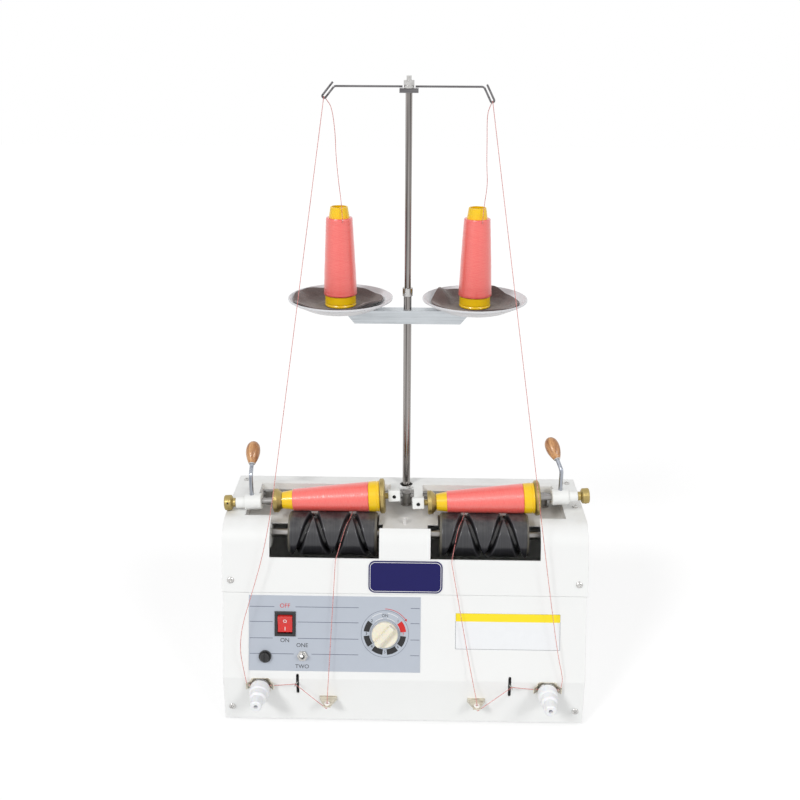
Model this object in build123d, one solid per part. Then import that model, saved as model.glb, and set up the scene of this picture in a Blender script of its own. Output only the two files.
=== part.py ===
"""Two-head yarn cone winder: a sheet steel case with two grooved drums, two swing cradles and a thread stand.

Millimetres. X runs to the right, Y to the back, Z up. The origin is on the resting surface, under the middle
of the case.
"""

import math
import os

from build123d import *

# ---------------------------------------------------------------- case
CASE_WIDTH = 447.4
CASE_FRONT = 100.0
CASE_BACK = 98.7
CASE_ROOF = 249.0
FOOT_HEIGHT = 6.0
FOOT_RADIUS = 11.0
FOOT_INSET_X = 34.0
FOOT_INSET_Y = 34.0
SHEET = 1.5
COVER_SHEET = 1.2
COVER_GAP = 0.1
BAND_TOP = 66.0
LEAN = 17.5
BEND_RADIUS = 5.0
SHOULDER_RADIUS = 30.0
BACK_RADIUS = 4.0
SEAM_HEIGHT = 169.4
BODY_OVERLAP = 14.0
BASE_SHEET = 2.0
BASE_FLANGE = 24.0
FACE_GAP = 0.1

# ---------------------------------------------------------------- drum windows, recess and deck
WINDOW_INNER = 31.5
WINDOW_OUTER = 166.5
WINDOW_SILL = 210.9
STRIP_EDGE = -38.5
RECESS_HALF = 200.0
RECESS_FRONT = -19.0
RECESS_BACK = 60.0
DECK_HEIGHT = 238.0
DECK_FRONT = -15.0
DECK_TONGUE = -32.0
DECK_TONGUE_HALF = 28.0
DECK_BACK_LIP = 14.0
DRUM_SLOT_GAP = 1.8
DRUM_SLOT_BACK = 3.0

# ---------------------------------------------------------------- drums
DRUM_Y = -17.0
DRUM_Z = 225.5
DRUM_RADIUS = 27.5
DRUM_LENGTH = 110.0
DRUM_CENTRES = (-90.0, 98.0)
RIM_CHAMFER = 2.2
RIM_LENGTH = 3.0
GROOVE_DEPTH = 7.0
GROOVE_FLOOR = 3.4
GROOVE_FLARE = 0.36
GROOVE_TURNS = 2
GROOVE_MARGIN = 7.0
GROOVE_STEP = 24.0
SHAFT_RADIUS = 5.5
SHAFT_OVERHANG = 35.0
FIT = 0.05
BEARING_THICK = 8.0
BEARING_DROP = 26.0
BEARING_HALF = 13.0
BEARING_INNER = 20.0

# ---------------------------------------------------------------- drive
PULLEY_RADIUS = 8.4
MOTOR_PULLEY_RADIUS = 10.0
PULLEY_RIM = 1.4
PULLEY_CHEEK = 2.0
BELT_WIDTH = 8.0
BELT_THICK = 1.6
BELT_GAP = 0.3
MOTOR_Y = 24.0
MOTOR_Z = 62.0
MOTOR_RADIUS = 28.0
MOTOR_LENGTH = 88.0
MOTOR_SHAFT_RADIUS = 4.0

# ---------------------------------------------------------------- yarn cones on the drums
NIP_LEAN = 17.5
NIP_GAP = 0.3
WOUND_SMALL_RADIUS = 13.5
WOUND_LARGE_RADIUS = 18.8
WOUND_LENGTH = 95.4
WOUND_X = (-141.2, 51.8)
TUBE_TIP = 13.0
TUBE_BASE = 13.6
TUBE_TIP_RADIUS = 10.5
TUBE_BASE_RADIUS = 19.5
TUBE_WALL = 1.6
YARN_ON_TUBE = 0.9
LAYER_GAP = 0.05

# ---------------------------------------------------------------- brass centres and spindles
SMALL_CENTRE_RADIUS = 15.0
LARGE_CENTRE_RADIUS = 22.0
SMALL_CENTRE_LENGTH = 11.4
LARGE_CENTRE_LENGTH = 6.6
CENTRE_NOSE = 7.0
CENTRE_SEAT = 0.3
SPINDLE_RADIUS = 3.8
BLOCK_SIDE = 14.0
BLOCK_LENGTH = 14.6
BLOCK_AWAY = 4.4
BLOCK_HOLE_RADIUS = 2.3
BARREL_AWAY = 15.4
BARREL_LENGTH = 21.0
BARREL_RADIUS = 10.0
BARREL_NECK_LENGTH = 11.0
BARREL_NECK_RADIUS = 7.4
KNOB_NECK = 14.0
KNOB_NECK_RADIUS = 5.5
KNOB_LENGTH = 10.5
KNOB_RADIUS = 9.6
TAIL_TRAVEL = 10.0

# ---------------------------------------------------------------- cradle pivot and lever
PIVOT_Y = 42.0
PIVOT_Z = 250.0
PIVOT_RADIUS = 4.0
PIVOT_BOSS = 8.0
POST_RADIUS = 6.0
POST_RISE = 5.5
POST_X = (-178.0, 1.0, 178.0)
ARM_WIDTH = 11.0
ARM_CORNER = 5.0
LINK_SIDE = 9.0
LINK_RISE = 14.0
LEVER_RADIUS = 2.5
LEVER_X = 193.0
LEVER_RISE = 30.0
LEVER_REACH = 30.0
LEVER_BACK = 50.0
LEVER_BEND = 8.0
LEVER_SIDE = (0.0, -17.0)
LEVER_SEAT = 4.0
HANDLE_LENGTH = 31.0
HANDLE_RADIUS = 9.0
HANDLE_BORE = 14.0

# ---------------------------------------------------------------- control panel, placed by (x, distance up the slope)
PANEL_LEFT = -191.5
PANEL_RIGHT = 20.2
PANEL_LOW = 10.2
PANEL_HIGH = 104.4
PANEL_THICK = 0.8
ROCKER_AT = (-146.6, 69.3)
ROCKER_WIDTH = 26.0
ROCKER_HEIGHT = 31.0
ROCKER_RIM = 3.7
ROCKER_PROUD = 2.2
ROCKER_BODY = 16.0
ROCKER_TILT = 9.0
ROCKER_PIVOT = 4.0
SIDE_GAP = 0.3
TOGGLE_AT = (-125.0, 29.5)
TOGGLE_NUT = 13.6
TOGGLE_BUSH_RADIUS = 4.5
TOGGLE_BORE = 3.2
TOGGLE_BALL = 2.9
TOGGLE_LEVER = 13.0
TOGGLE_TILT = 13.0
FUSE_AT = (-171.3, 28.2)
FUSE_RADIUS = 7.7
FUSE_BODY_RADIUS = 7.0
FUSE_CAP_RADIUS = 5.8
DIAL_AT = (-23.5, 58.2)
DIAL_RADIUS = 16.0
DIAL_SKIRT = 7.0
DIAL_GRIP = 9.0
DIAL_GRIP_WIDTH = 8.5
DIAL_TURN = 229.0
DIAL_SHAFT_RADIUS = 3.0
POT_RADIUS = 11.0

# ---------------------------------------------------------------- thread path on the lower band
TENSION_X = 177.5
TENSION_Z = 54.5
TENSION_STUD = 2.0
TENSION_DISC = 12.0
DISC_THICK = 0.8
DISC_GAP = 1.2
BRACKET_THICK = 1.2
EAR_REACH = 14.2
EAR_RISE = 3.5
EAR_HEIGHT = 3.4
EAR_SIZE = 8.0
EAR_HOLE = 1.6
KNOB_STEPS = ((12.5, 12.0), (10.6, 10.0), (7.8, 14.0))
KNOB_TIP_HOLE = 2.6
SLOT_X = 131.3
SLOT_LOW = 44.5
SLOT_HIGH = 72.0
SLOT_WIDTH = 3.6
TAKEUP_WIRE = 0.8
TAKEUP_PIVOT_Y = -78.0
TAKEUP_PIVOT_Z = 60.0
TAKEUP_PIN = 2.0
TAKEUP_EYE = 4.2
TAKEUP_FRONT = 12.0
TAKEUP_RISE = 3.0
TAKEUP_SHIFT = 2.0
TAKEUP_CROSSING = -108.6
GUIDE_X = (-93.5, 90.5)
GUIDE_Z = 41.5
GUIDE_WIDTH = 22.0
GUIDE_REACH = 17.0
GUIDE_DROP = 5.0
GUIDE_DROP_TIP = 1.2
BEAD_RADIUS = 3.8
BEAD_BORE = 1.5
BEAD_HEIGHT = 5.0

# ---------------------------------------------------------------- stand
POLE_Y = 76.0
LOWER_TUBE_RADIUS = 5.0
UPPER_TUBE_RADIUS = 4.0
TUBE_BORE = 3.0
POLE_HOLE = 9.1
COLLAR_TOP = 519.0
COLLAR_HEIGHT = 10.0
COLLAR_RADIUS = 6.4
UPPER_INSERT = 60.0
POLE_TOP = 754.0
BAR_TOP = 491.5
BAR_HEIGHT = 17.0
BAR_DEPTH = 16.0
BAR_SHEET = 1.2
BAR_LOW_HALF = 66.0
BAR_HIGH_HALF = 80.0
TRAY_X = 83.5
TRAY_RADIUS = 65.0
TRAY_FLOOR = 32.0
TRAY_DEPTH = 15.0
TRAY_WALL = 1.6
PAD_RADIUS = 48.0
PAD_THICK = 3.0
PAD_GAP = 0.3
PIN_RADIUS = 3.5
PIN_HEIGHT = 70.0
SUPPLY_BASE_YARN = 20.6
SUPPLY_TIP_YARN = 16.0
TOP_PLATE_HALF = 11.0
TOP_PLATE_THICK = 1.6
ARM_WIRE = 1.2
ARM_HEIGHT = 757.6
HOOK_GAP = 4.3
THREAD_DIAMETER = 0.8
TOUCH = 0.05
HOOK_STRADDLE = 1.6
SILL_PASS_Y = -60.6
SILL_PASS_Z = 211.2
TURN_OVER_ARM = 1.65
TURN_IN_EAR = 1.6
TURN_OVER_TAKEUP = 1.25
TURN_UNDER_BEAD = 1.6
TURN_OVER_SILL = 8.0

# power inlet, a standard three-pin socket: its middle, its mouth and its pins
INLET_AT = (-150.0, 60.0)
INLET_WIDTH = 27.5
INLET_HEIGHT = 20.0
INLET_DEPTH = 22.0
INLET_FLANGE = 5.0
INLET_PLATE = 2.4
INLET_WALL = 2.0
INLET_TIP = 2.0
INLET_PIN = (2.0, 4.0)
INLET_PINS_AT = ((-7.0, -2.0), (7.0, -2.0), (0.0, 4.0))

# ---------------------------------------------------------------- derived places
COVER_GROW = COVER_SHEET + COVER_GAP
CASE_TOP = CASE_ROOF + COVER_GROW
LEAN_SIN = math.sin(math.radians(LEAN))
LEAN_COS = math.cos(math.radians(LEAN))
WOUND_TAPER = math.atan((WOUND_LARGE_RADIUS - WOUND_SMALL_RADIUS) / WOUND_LENGTH)
NIP_Y = math.sin(math.radians(NIP_LEAN))
NIP_Z = math.cos(math.radians(NIP_LEAN))
DRIVE_X = (DRUM_CENTRES[0] + DRUM_CENTRES[1]) / 2


def block(x0, x1, y0, y1, z0, z1):
    """Box between two opposite corners."""
    size = Box(x1 - x0, y1 - y0, z1 - z0)
    return Pos((x0 + x1) / 2, (y0 + y1) / 2, (z0 + z1) / 2) * size


def turned(outline, frame=Plane.XY):
    """Solid of revolution about the frame's z axis, from (height, radius) points."""
    points = [(radius, height) for height, radius in outline]
    profile = Plane.XZ * Polygon(*points, align=None)
    return frame.location * revolve(profile, Axis.Z)


def rod(start, end, radius):
    """Round bar between two points."""
    run = Vector(*end) - Vector(*start)
    return turned([(0, 0), (0, radius), (run.length, radius), (run.length, 0)], Plane(start, z_dir=run))


def bent_rod(points, radii, radius):
    """Round bar along straight runs joined by tangent arcs."""
    path = FilletPolyline(*points, radius=radii)
    section = Plane(path @ 0, z_dir=path % 0) * Circle(radius)
    return sweep(section, path=path)


def case_outline(grow):
    """Side outline of the case in the YZ plane, grown outward."""
    bottom = FOOT_HEIGHT
    roof = CASE_ROOF + grow
    bend = BAND_TOP + grow * (1 - LEAN_COS) / LEAN_SIN
    shoulder = -CASE_FRONT + (roof - BAND_TOP) * LEAN_SIN / LEAN_COS - grow / LEAN_COS
    points = [
        (-CASE_FRONT - grow, bottom),
        (-CASE_FRONT - grow, bend),
        (shoulder, roof),
        (CASE_BACK + grow, roof),
        (CASE_BACK + grow, bottom),
    ]
    face = Plane.YZ * Polygon(*points, align=None)
    corners = face.vertices()
    face = fillet(corners.filter_by_position(Axis.Y, shoulder - 1, shoulder + 1), SHOULDER_RADIUS + grow)
    top_back = [v for v in face.vertices() if v.Y > CASE_BACK + grow - 1 and v.Z > roof - 1]
    face = fillet(top_back, BACK_RADIUS + grow)
    bend_corner = [v for v in face.vertices() if abs(v.Z - bend) < 1 and v.Y < -CASE_FRONT + 5]
    return fillet(bend_corner, BEND_RADIUS + grow)


def case_solid(grow, width):
    """The case's full volume at a given growth."""
    return extrude(case_outline(grow), amount=width / 2, both=True)


def panel_frame(x, up, lift=0.0):
    """Frame on the leaning panel's outer face: x to the right, y up the slope, z outward."""
    y = -CASE_FRONT + up * LEAN_SIN - lift * LEAN_COS
    z = BAND_TOP + up * LEAN_COS + lift * LEAN_SIN
    return Plane(origin=(x, y, z), x_dir=(1, 0, 0), z_dir=(0, -LEAN_COS, LEAN_SIN))


def cone_frame(head):
    """Frame of a wound cone: origin at the yarn's small end, z along the axis to the large end."""
    away = DRUM_RADIUS + NIP_GAP + WOUND_SMALL_RADIUS * math.cos(WOUND_TAPER)
    origin = (WOUND_X[head], DRUM_Y + away * NIP_Y, DRUM_Z + away * NIP_Z)
    rise = math.sin(WOUND_TAPER)
    along = (math.cos(WOUND_TAPER), rise * NIP_Y, rise * NIP_Z)
    return Plane(origin=origin, x_dir=(0, NIP_Z, -NIP_Y), z_dir=along)


def on_axis(head, height):
    """A point on a wound cone's axis."""
    frame = cone_frame(head)
    return frame.origin + frame.z_dir * height


def tail_end(head):
    """Which way the sprung end lies: the small end of the left cone, the large end of the right one."""
    return -1 if head == 0 else 1


def end_heights(head):
    """Axis heights of the tube's end faces at the inner block and at the outer barrel."""
    tip = -TUBE_TIP
    base = WOUND_LENGTH + TUBE_BASE
    return (base, tip) if head == 0 else (tip, base)


# ---------------------------------------------------------------- case pieces


def screw_frames():
    """Frames of the case screws: outward z at each seat."""
    side = CASE_WIDTH / 2 - 9.5
    up = (SEAM_HEIGHT + BODY_OVERLAP - BAND_TOP) / LEAN_COS
    frames = [panel_frame(x, up, COVER_GROW) for x in (-side, side)]
    low = FOOT_HEIGHT + BASE_SHEET + BASE_FLANGE / 2 + 4
    frames += [Plane((x, -CASE_FRONT, low), z_dir=(0, -1, 0)) for x in (-side, side)]
    frames += [Plane((x, CASE_BACK, low), z_dir=(0, 1, 0)) for x in (-side, side)]
    top = [(-side, CASE_BACK - 16), (side, CASE_BACK - 16), (side + 2, 14.4), (4.5, RECESS_BACK + 4.8)]
    frames += [Plane((x, y, CASE_TOP), z_dir=(0, 0, 1)) for x, y in top]
    return frames


def case_screws():
    """Pan-head screws with a short shank in their holes."""
    outline = [(-6, 0), (-6, 1.9), (0, 1.9), (0, 4.0), (1.3, 3.8), (2.4, 2.2), (2.4, 0)]
    return [turned(outline, frame) for frame in screw_frames()]


def screw_holes(reach=30):
    """Clearance holes for the shanks."""
    return [frame.location * Cylinder(2.1, reach) for frame in screw_frames()]


def control_holes():
    """Cutters for the controls, straight through the leaning panel."""
    rocker = panel_frame(*ROCKER_AT).location * Box(ROCKER_WIDTH - 3.2, ROCKER_HEIGHT - 3.2, 12)
    holes = [rocker]
    for place, radius in ((TOGGLE_AT, TOGGLE_BUSH_RADIUS), (FUSE_AT, FUSE_BODY_RADIUS), (DIAL_AT, DIAL_SHAFT_RADIUS + 1)):
        holes.append(panel_frame(*place).location * Cylinder(radius + FIT, 12))
    return holes


def takeup_bracket(side):
    """Welded ear and pin behind the lower band that carry one take-up wire."""
    x = side * SLOT_X
    out = side * 6.0
    inner = -CASE_FRONT + SHEET
    xs = sorted((x + out, x + out + side * SHEET))
    ear = block(xs[0], xs[1], inner, TAKEUP_PIVOT_Y + 5, TAKEUP_PIVOT_Z - 6, TAKEUP_PIVOT_Z + 6)
    pin = rod((x - side * 2.4, TAKEUP_PIVOT_Y, TAKEUP_PIVOT_Z), (x + out, TAKEUP_PIVOT_Y, TAKEUP_PIVOT_Z), TAKEUP_PIN)
    return ear + pin


def case_body():
    """Front, sides and back in one wrap of sheet, open above and below."""
    body = case_solid(0, CASE_WIDTH)
    body -= case_solid(-SHEET, CASE_WIDTH - 2 * SHEET)
    top = SEAM_HEIGHT + BODY_OVERLAP + 8
    body -= block(-CASE_WIDTH, CASE_WIDTH, -CASE_FRONT - 5, CASE_BACK + 5, top, CASE_TOP + 20)
    for side in (-1, 1):
        x = side * SLOT_X
        slot = Pos(x, -CASE_FRONT, (SLOT_LOW + SLOT_HIGH) / 2) * Box(SLOT_WIDTH, 8, SLOT_HIGH - SLOT_LOW)
        slot = fillet(slot.edges().filter_by(Axis.Y), SLOT_WIDTH / 2 - 0.1)
        body -= slot
        body -= rod((side * TENSION_X, -CASE_FRONT - 5, TENSION_Z), (side * TENSION_X, -CASE_FRONT + 5, TENSION_Z), TENSION_STUD + FIT)
    body -= control_holes()
    body -= screw_holes()
    body -= inlet_frame().location * Box(INLET_WIDTH + 0.4, INLET_HEIGHT + 0.4, 10)
    vents = [Pos(x, CASE_BACK, 95) * Box(4, 8, 40) for x in range(60, 141, 16)]
    body -= vents
    return [body + takeup_bracket(-1) + takeup_bracket(1)]


def top_cover():
    """Cover over the shoulder and the top, with drum windows, recess and pole hole."""
    width = CASE_WIDTH + 2 * COVER_GROW
    cover = case_solid(COVER_GROW, width) - case_solid(COVER_GAP, CASE_WIDTH + 2 * COVER_GAP)
    cover -= block(-width, width, -2 * CASE_FRONT, 2 * CASE_BACK, 0, SEAM_HEIGHT)
    above = CASE_TOP + 10
    cover -= block(-RECESS_HALF, RECESS_HALF, RECESS_FRONT, RECESS_BACK, DECK_HEIGHT, above)
    cover -= block(-WINDOW_INNER, WINDOW_INNER, STRIP_EDGE, RECESS_FRONT, DECK_HEIGHT, above)
    for side in (-1, 1):
        xs = sorted((side * WINDOW_INNER, side * WINDOW_OUTER))
        cover -= block(xs[0], xs[1], -CASE_FRONT, RECESS_FRONT + 1, WINDOW_SILL, above)
    cover -= Pos(0, POLE_Y, CASE_TOP - 10) * extrude(RegularPolygon(POLE_HOLE, 6), amount=20)
    cover -= screw_holes()
    return [cover]


def deck_tray():
    """Sunk white deck with side walls up to the cover and two drum openings."""
    under = CASE_ROOF + COVER_GAP
    floor = DECK_HEIGHT - SHEET
    deck = block(-RECESS_HALF, RECESS_HALF, DECK_FRONT, RECESS_BACK + SHEET, floor, DECK_HEIGHT)
    deck += block(-DECK_TONGUE_HALF, DECK_TONGUE_HALF, DECK_TONGUE, DECK_FRONT, floor, DECK_HEIGHT)
    deck += block(-RECESS_HALF - SHEET, RECESS_HALF + SHEET, RECESS_BACK, RECESS_BACK + SHEET, floor, under)
    for side in (-1, 1):
        xs = sorted((side * RECESS_HALF, side * (RECESS_HALF + SHEET)))
        deck += block(xs[0], xs[1], DECK_FRONT, RECESS_BACK + SHEET, floor, under)
    drop = DRUM_Z - floor
    back = DRUM_Y + math.sqrt(DRUM_RADIUS**2 - min(abs(drop), DRUM_RADIUS - 1) ** 2) + DRUM_SLOT_BACK
    for centre in DRUM_CENTRES:
        half = DRUM_LENGTH / 2 + DRUM_SLOT_GAP
        deck -= block(centre - half, centre + half, DECK_FRONT - 5, back, floor - 5, DECK_HEIGHT + 5)
        deck += block(centre - half, centre + half, back, back + SHEET, floor - DECK_BACK_LIP, DECK_HEIGHT)
    deck += Pos(-0.8, DECK_FRONT + 2, DECK_HEIGHT + 4) * Cylinder(2.6, 8)
    return [deck]


def base_plate():
    """Folded base tray inside the foot of the case."""
    half = CASE_WIDTH / 2 - SHEET - FACE_GAP
    front = -CASE_FRONT + SHEET + FACE_GAP
    back = CASE_BACK - SHEET - FACE_GAP
    top = FOOT_HEIGHT + BASE_SHEET + BASE_FLANGE
    tray = block(-half, half, front, back, FOOT_HEIGHT, top)
    inset = BASE_SHEET
    tray -= block(-half + inset, half - inset, front + inset, back - inset, FOOT_HEIGHT + BASE_SHEET, top + 5)
    return [tray - screw_holes()]


def rubber_feet():
    """Four feet under the base plate."""
    x = CASE_WIDTH / 2 - FOOT_INSET_X
    outline = [(0, 0), (0, FOOT_RADIUS - 2), (FOOT_HEIGHT, FOOT_RADIUS), (FOOT_HEIGHT, 0)]
    ys = (-CASE_FRONT + FOOT_INSET_Y, CASE_BACK - FOOT_INSET_Y)
    return [turned(outline, Plane((sx * x, y, 0))) for sx in (-1, 1) for y in ys]


def inlet_frame():
    """Frame of the power inlet on the back wall, z outward."""
    return Plane((INLET_AT[0], CASE_BACK, INLET_AT[1]), x_dir=(-1, 0, 0), z_dir=(0, 1, 0))


def power_inlet():
    """Recessed three-pin inlet with its flange against the back wall, open towards the back."""
    plate = (INLET_WIDTH + 2 * INLET_FLANGE, INLET_HEIGHT + 2 * INLET_FLANGE)
    flange = Pos(0, 0, INLET_PLATE / 2) * Box(*plate, INLET_PLATE)
    shell = Pos(0, 0, -INLET_DEPTH / 2) * Box(INLET_WIDTH, INLET_HEIGHT, INLET_DEPTH)
    mouth = (INLET_WIDTH - 2 * INLET_WALL, INLET_HEIGHT - 2 * INLET_WALL)
    floor = INLET_PLATE - INLET_DEPTH
    well = Pos(0, 0, (floor + 2 * INLET_PLATE) / 2) * Box(*mouth, 2 * INLET_PLATE - floor)
    reach = -INLET_TIP - floor
    pins = [Pos(x, y, floor + reach / 2 - 0.5) * Box(*INLET_PIN, reach + 1) for x, y in INLET_PINS_AT]
    return [inlet_frame().location * (flange + shell - well + pins)]


# ---------------------------------------------------------------- drums and drive


def groove(left_hand, start, depth):
    """Cutter for one helical groove, flaring outward, as a ruled loft of trapezoids."""
    stroke = DRUM_LENGTH - 2 * GROOVE_MARGIN
    floor = DRUM_RADIUS - depth
    hand = -1 if left_hand else 1
    count = round((GROOVE_TURNS * 360 + 2 * start) / GROOVE_STEP)
    over = depth + 2.5
    half = GROOVE_FLOOR / 2
    sections = []
    for index in range(count + 1):
        turn = math.radians(index * GROOVE_STEP - start)
        climb = stroke / GROOVE_TURNS / (2 * math.pi)
        radial = Vector(math.cos(turn), hand * math.sin(turn), 0)
        along = Vector(-floor * math.sin(turn), hand * floor * math.cos(turn), climb)
        origin = radial * floor + Vector(0, 0, climb * turn - stroke / 2)
        flare = half + over * GROOVE_FLARE
        outline = Polygon((0, -half), (over, -flare), (over, flare), (0, half), align=None)
        sections.append(Plane(origin=origin, x_dir=radial, z_dir=along) * outline)
    return loft(sections, ruled=True)


def drum_frame(centre):
    """Frame of a drum: z along the shaft, x towards the crossing at the lower front."""
    return Plane(origin=(centre, DRUM_Y, DRUM_Z), x_dir=(0, -NIP_Y, -NIP_Z), z_dir=(1, 0, 0))


def drum(centre):
    """Traverse drum: two crossed helical grooves, chamfered rims and a bore for the shaft."""
    half = DRUM_LENGTH / 2
    inner = DRUM_RADIUS - RIM_CHAMFER
    outline = [(-half, SHAFT_RADIUS + FIT), (-half, inner), (-half + RIM_LENGTH, DRUM_RADIUS)]
    outline += [(half - RIM_LENGTH, DRUM_RADIUS), (half, inner), (half, SHAFT_RADIUS + FIT)]
    solid = turned(outline)
    solid -= groove(False, 0.0, GROOVE_DEPTH)
    solid -= groove(True, GROOVE_STEP / 2, GROOVE_DEPTH + 0.2)
    return [drum_frame(centre).location * solid]


def drum_shaft():
    """Common shaft of both drums with its belt pulley."""
    left = DRUM_CENTRES[0] - DRUM_LENGTH / 2 - SHAFT_OVERHANG
    right = DRUM_CENTRES[1] + DRUM_LENGTH / 2 + SHAFT_OVERHANG
    shaft = rod((left, DRUM_Y, DRUM_Z), (right, DRUM_Y, DRUM_Z), SHAFT_RADIUS)
    pulley = pulley_solid(PULLEY_RADIUS, SHAFT_RADIUS + FIT, Plane((DRIVE_X, DRUM_Y, DRUM_Z), z_dir=(1, 0, 0)))
    return [shaft, pulley]


def pulley_solid(radius, bore, frame):
    """Flat belt pulley with two rims, centred on its frame."""
    half = BELT_WIDTH / 2 + BELT_GAP
    edge = half + PULLEY_CHEEK
    rim = radius + PULLEY_RIM
    outline = [(-edge, bore), (-edge, rim), (-half, rim), (-half, radius), (half, radius), (half, rim), (edge, rim), (edge, bore)]
    return turned(outline, frame)


def motor_pulley():
    """Motor shaft's free end with the small pulley."""
    frame = Plane((DRIVE_X, MOTOR_Y, MOTOR_Z), z_dir=(1, 0, 0))
    edge = BELT_WIDTH / 2 + BELT_GAP + PULLEY_CHEEK
    stub = rod((DRIVE_X - edge - 4, MOTOR_Y, MOTOR_Z), (DRIVE_X + edge + 10, MOTOR_Y, MOTOR_Z), MOTOR_SHAFT_RADIUS)
    return [stub + pulley_solid(MOTOR_PULLEY_RADIUS, 0, frame)]


def drive_motor():
    """Motor with end boss and foot on the base plate."""
    face = DRIVE_X + BELT_WIDTH / 2 + BELT_GAP + PULLEY_CHEEK + 3
    floor = FOOT_HEIGHT + BASE_SHEET
    bore = MOTOR_SHAFT_RADIUS + FIT
    outline = [(0, bore), (0, 12), (4, 12), (4, MOTOR_RADIUS - 2), (6, MOTOR_RADIUS), (MOTOR_LENGTH - 6, MOTOR_RADIUS)]
    outline += [(MOTOR_LENGTH, MOTOR_RADIUS - 6), (MOTOR_LENGTH, 0), (10, 0), (10, bore)]
    motor = turned(outline, Plane((face, MOTOR_Y, MOTOR_Z), z_dir=(1, 0, 0)))
    foot = block(face + 18, face + MOTOR_LENGTH - 18, MOTOR_Y - 22, MOTOR_Y + 22, floor, floor + 3)
    saddle = block(face + 24, face + MOTOR_LENGTH - 24, MOTOR_Y - 16, MOTOR_Y + 16, floor, MOTOR_Z)
    return [motor + foot + saddle]


def drive_belt():
    """Flat belt round both pulleys."""
    frame = Plane((DRIVE_X, 0, 0), x_dir=(0, 1, 0), z_dir=(1, 0, 0))

    def loop(grow):
        low = Pos(MOTOR_Y, MOTOR_Z) * Circle(MOTOR_PULLEY_RADIUS + BELT_GAP + grow)
        high = Pos(DRUM_Y, DRUM_Z) * Circle(PULLEY_RADIUS + BELT_GAP + grow)
        return make_hull((low + high).edges())

    belt = frame.location * extrude(loop(BELT_THICK) - loop(0), amount=BELT_WIDTH / 2, both=True)
    return [belt]


def shaft_bearings():
    """Four bearing plates that hang under the deck and carry the drum shaft."""
    under = DECK_HEIGHT - SHEET
    outer = DRUM_LENGTH / 2 + SHAFT_OVERHANG - BEARING_THICK
    places = [DRUM_CENTRES[0] - outer, DRIVE_X - BEARING_INNER, DRIVE_X + BEARING_INNER, DRUM_CENTRES[1] + outer]
    plates = []
    for x in places:
        near, far = x - BEARING_THICK / 2, x + BEARING_THICK / 2
        plate = block(near, far, DRUM_Y - BEARING_HALF, DRUM_Y + BEARING_HALF, under - BEARING_DROP, DRUM_Z + SHAFT_RADIUS)
        plate += block(near, far, DECK_FRONT + 1, DECK_FRONT + 2 * BEARING_HALF, under - BEARING_DROP, under)
        plate -= rod((near - 1, DRUM_Y, DRUM_Z), (far + 1, DRUM_Y, DRUM_Z), SHAFT_RADIUS + FIT)
        plates.append(plate)
    return plates


# ---------------------------------------------------------------- winding heads


def tube_outline():
    """Outer (height, radius) points of a cone tube, height 0 at the yarn's small end."""
    seat = LAYER_GAP + YARN_ON_TUBE
    base = WOUND_LENGTH + TUBE_BASE
    return [
        (-TUBE_TIP, TUBE_TIP_RADIUS),
        (0, WOUND_SMALL_RADIUS - seat),
        (WOUND_LENGTH, WOUND_LARGE_RADIUS - seat),
        (WOUND_LENGTH + 0.6, WOUND_LARGE_RADIUS),
        (base - 4, TUBE_BASE_RADIUS - 0.2),
        (base - 3, TUBE_BASE_RADIUS - 0.8),
        (base - 1.5, TUBE_BASE_RADIUS),
        (base, TUBE_BASE_RADIUS - 0.4),
    ]


def tube_bore(height):
    """Bore radius of a cone tube at a height."""
    length = WOUND_LENGTH + TUBE_TIP + TUBE_BASE
    share = (height + TUBE_TIP) / length
    return TUBE_TIP_RADIUS - TUBE_WALL + share * (TUBE_BASE_RADIUS - TUBE_TIP_RADIUS - 1.2)


def tube_solid(frame):
    """Open-ended plastic cone tube."""
    outer = tube_outline()
    base = outer[-1][0]
    bore = [(base, tube_bore(base)), (-TUBE_TIP, tube_bore(-TUBE_TIP))]
    return turned(outer + bore, frame)


def yarn_solid(frame, small, large):
    """Wound yarn on a tube: a plain sleeve with softly rounded shoulders."""
    inner_small = WOUND_SMALL_RADIUS - YARN_ON_TUBE
    inner_large = WOUND_LARGE_RADIUS - YARN_ON_TUBE
    outline = [(0.1, inner_small), (0.1, small - 0.5), (0.8, small), (WOUND_LENGTH - 1.2, large)]
    outline += [(WOUND_LENGTH - 0.2, large - 0.6), (WOUND_LENGTH - 0.2, inner_large)]
    return turned(outline, frame)


def centre_frame(head, height, toward):
    """Frame on the cone's axis whose z points from a centre into the tube."""
    frame = cone_frame(head)
    return Plane(frame.origin + frame.z_dir * height, x_dir=frame.x_dir, z_dir=frame.z_dir * toward)


def small_centre(frame):
    """Brass centre for the tube's tip: a thick disc tapering to a nose in the bore."""
    nose = tube_bore(-TUBE_TIP) - CENTRE_SEAT
    length = SMALL_CENTRE_LENGTH - CENTRE_SEAT
    outline = [(-length, 0), (-length, SMALL_CENTRE_RADIUS - 0.6), (-length + 0.6, SMALL_CENTRE_RADIUS)]
    outline += [(-length + 5, SMALL_CENTRE_RADIUS), (-CENTRE_SEAT, TUBE_TIP_RADIUS - 0.6)]
    outline += [(-CENTRE_SEAT, nose), (CENTRE_NOSE, nose - 1), (CENTRE_NOSE, 0)]
    return turned(outline, frame)


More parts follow.
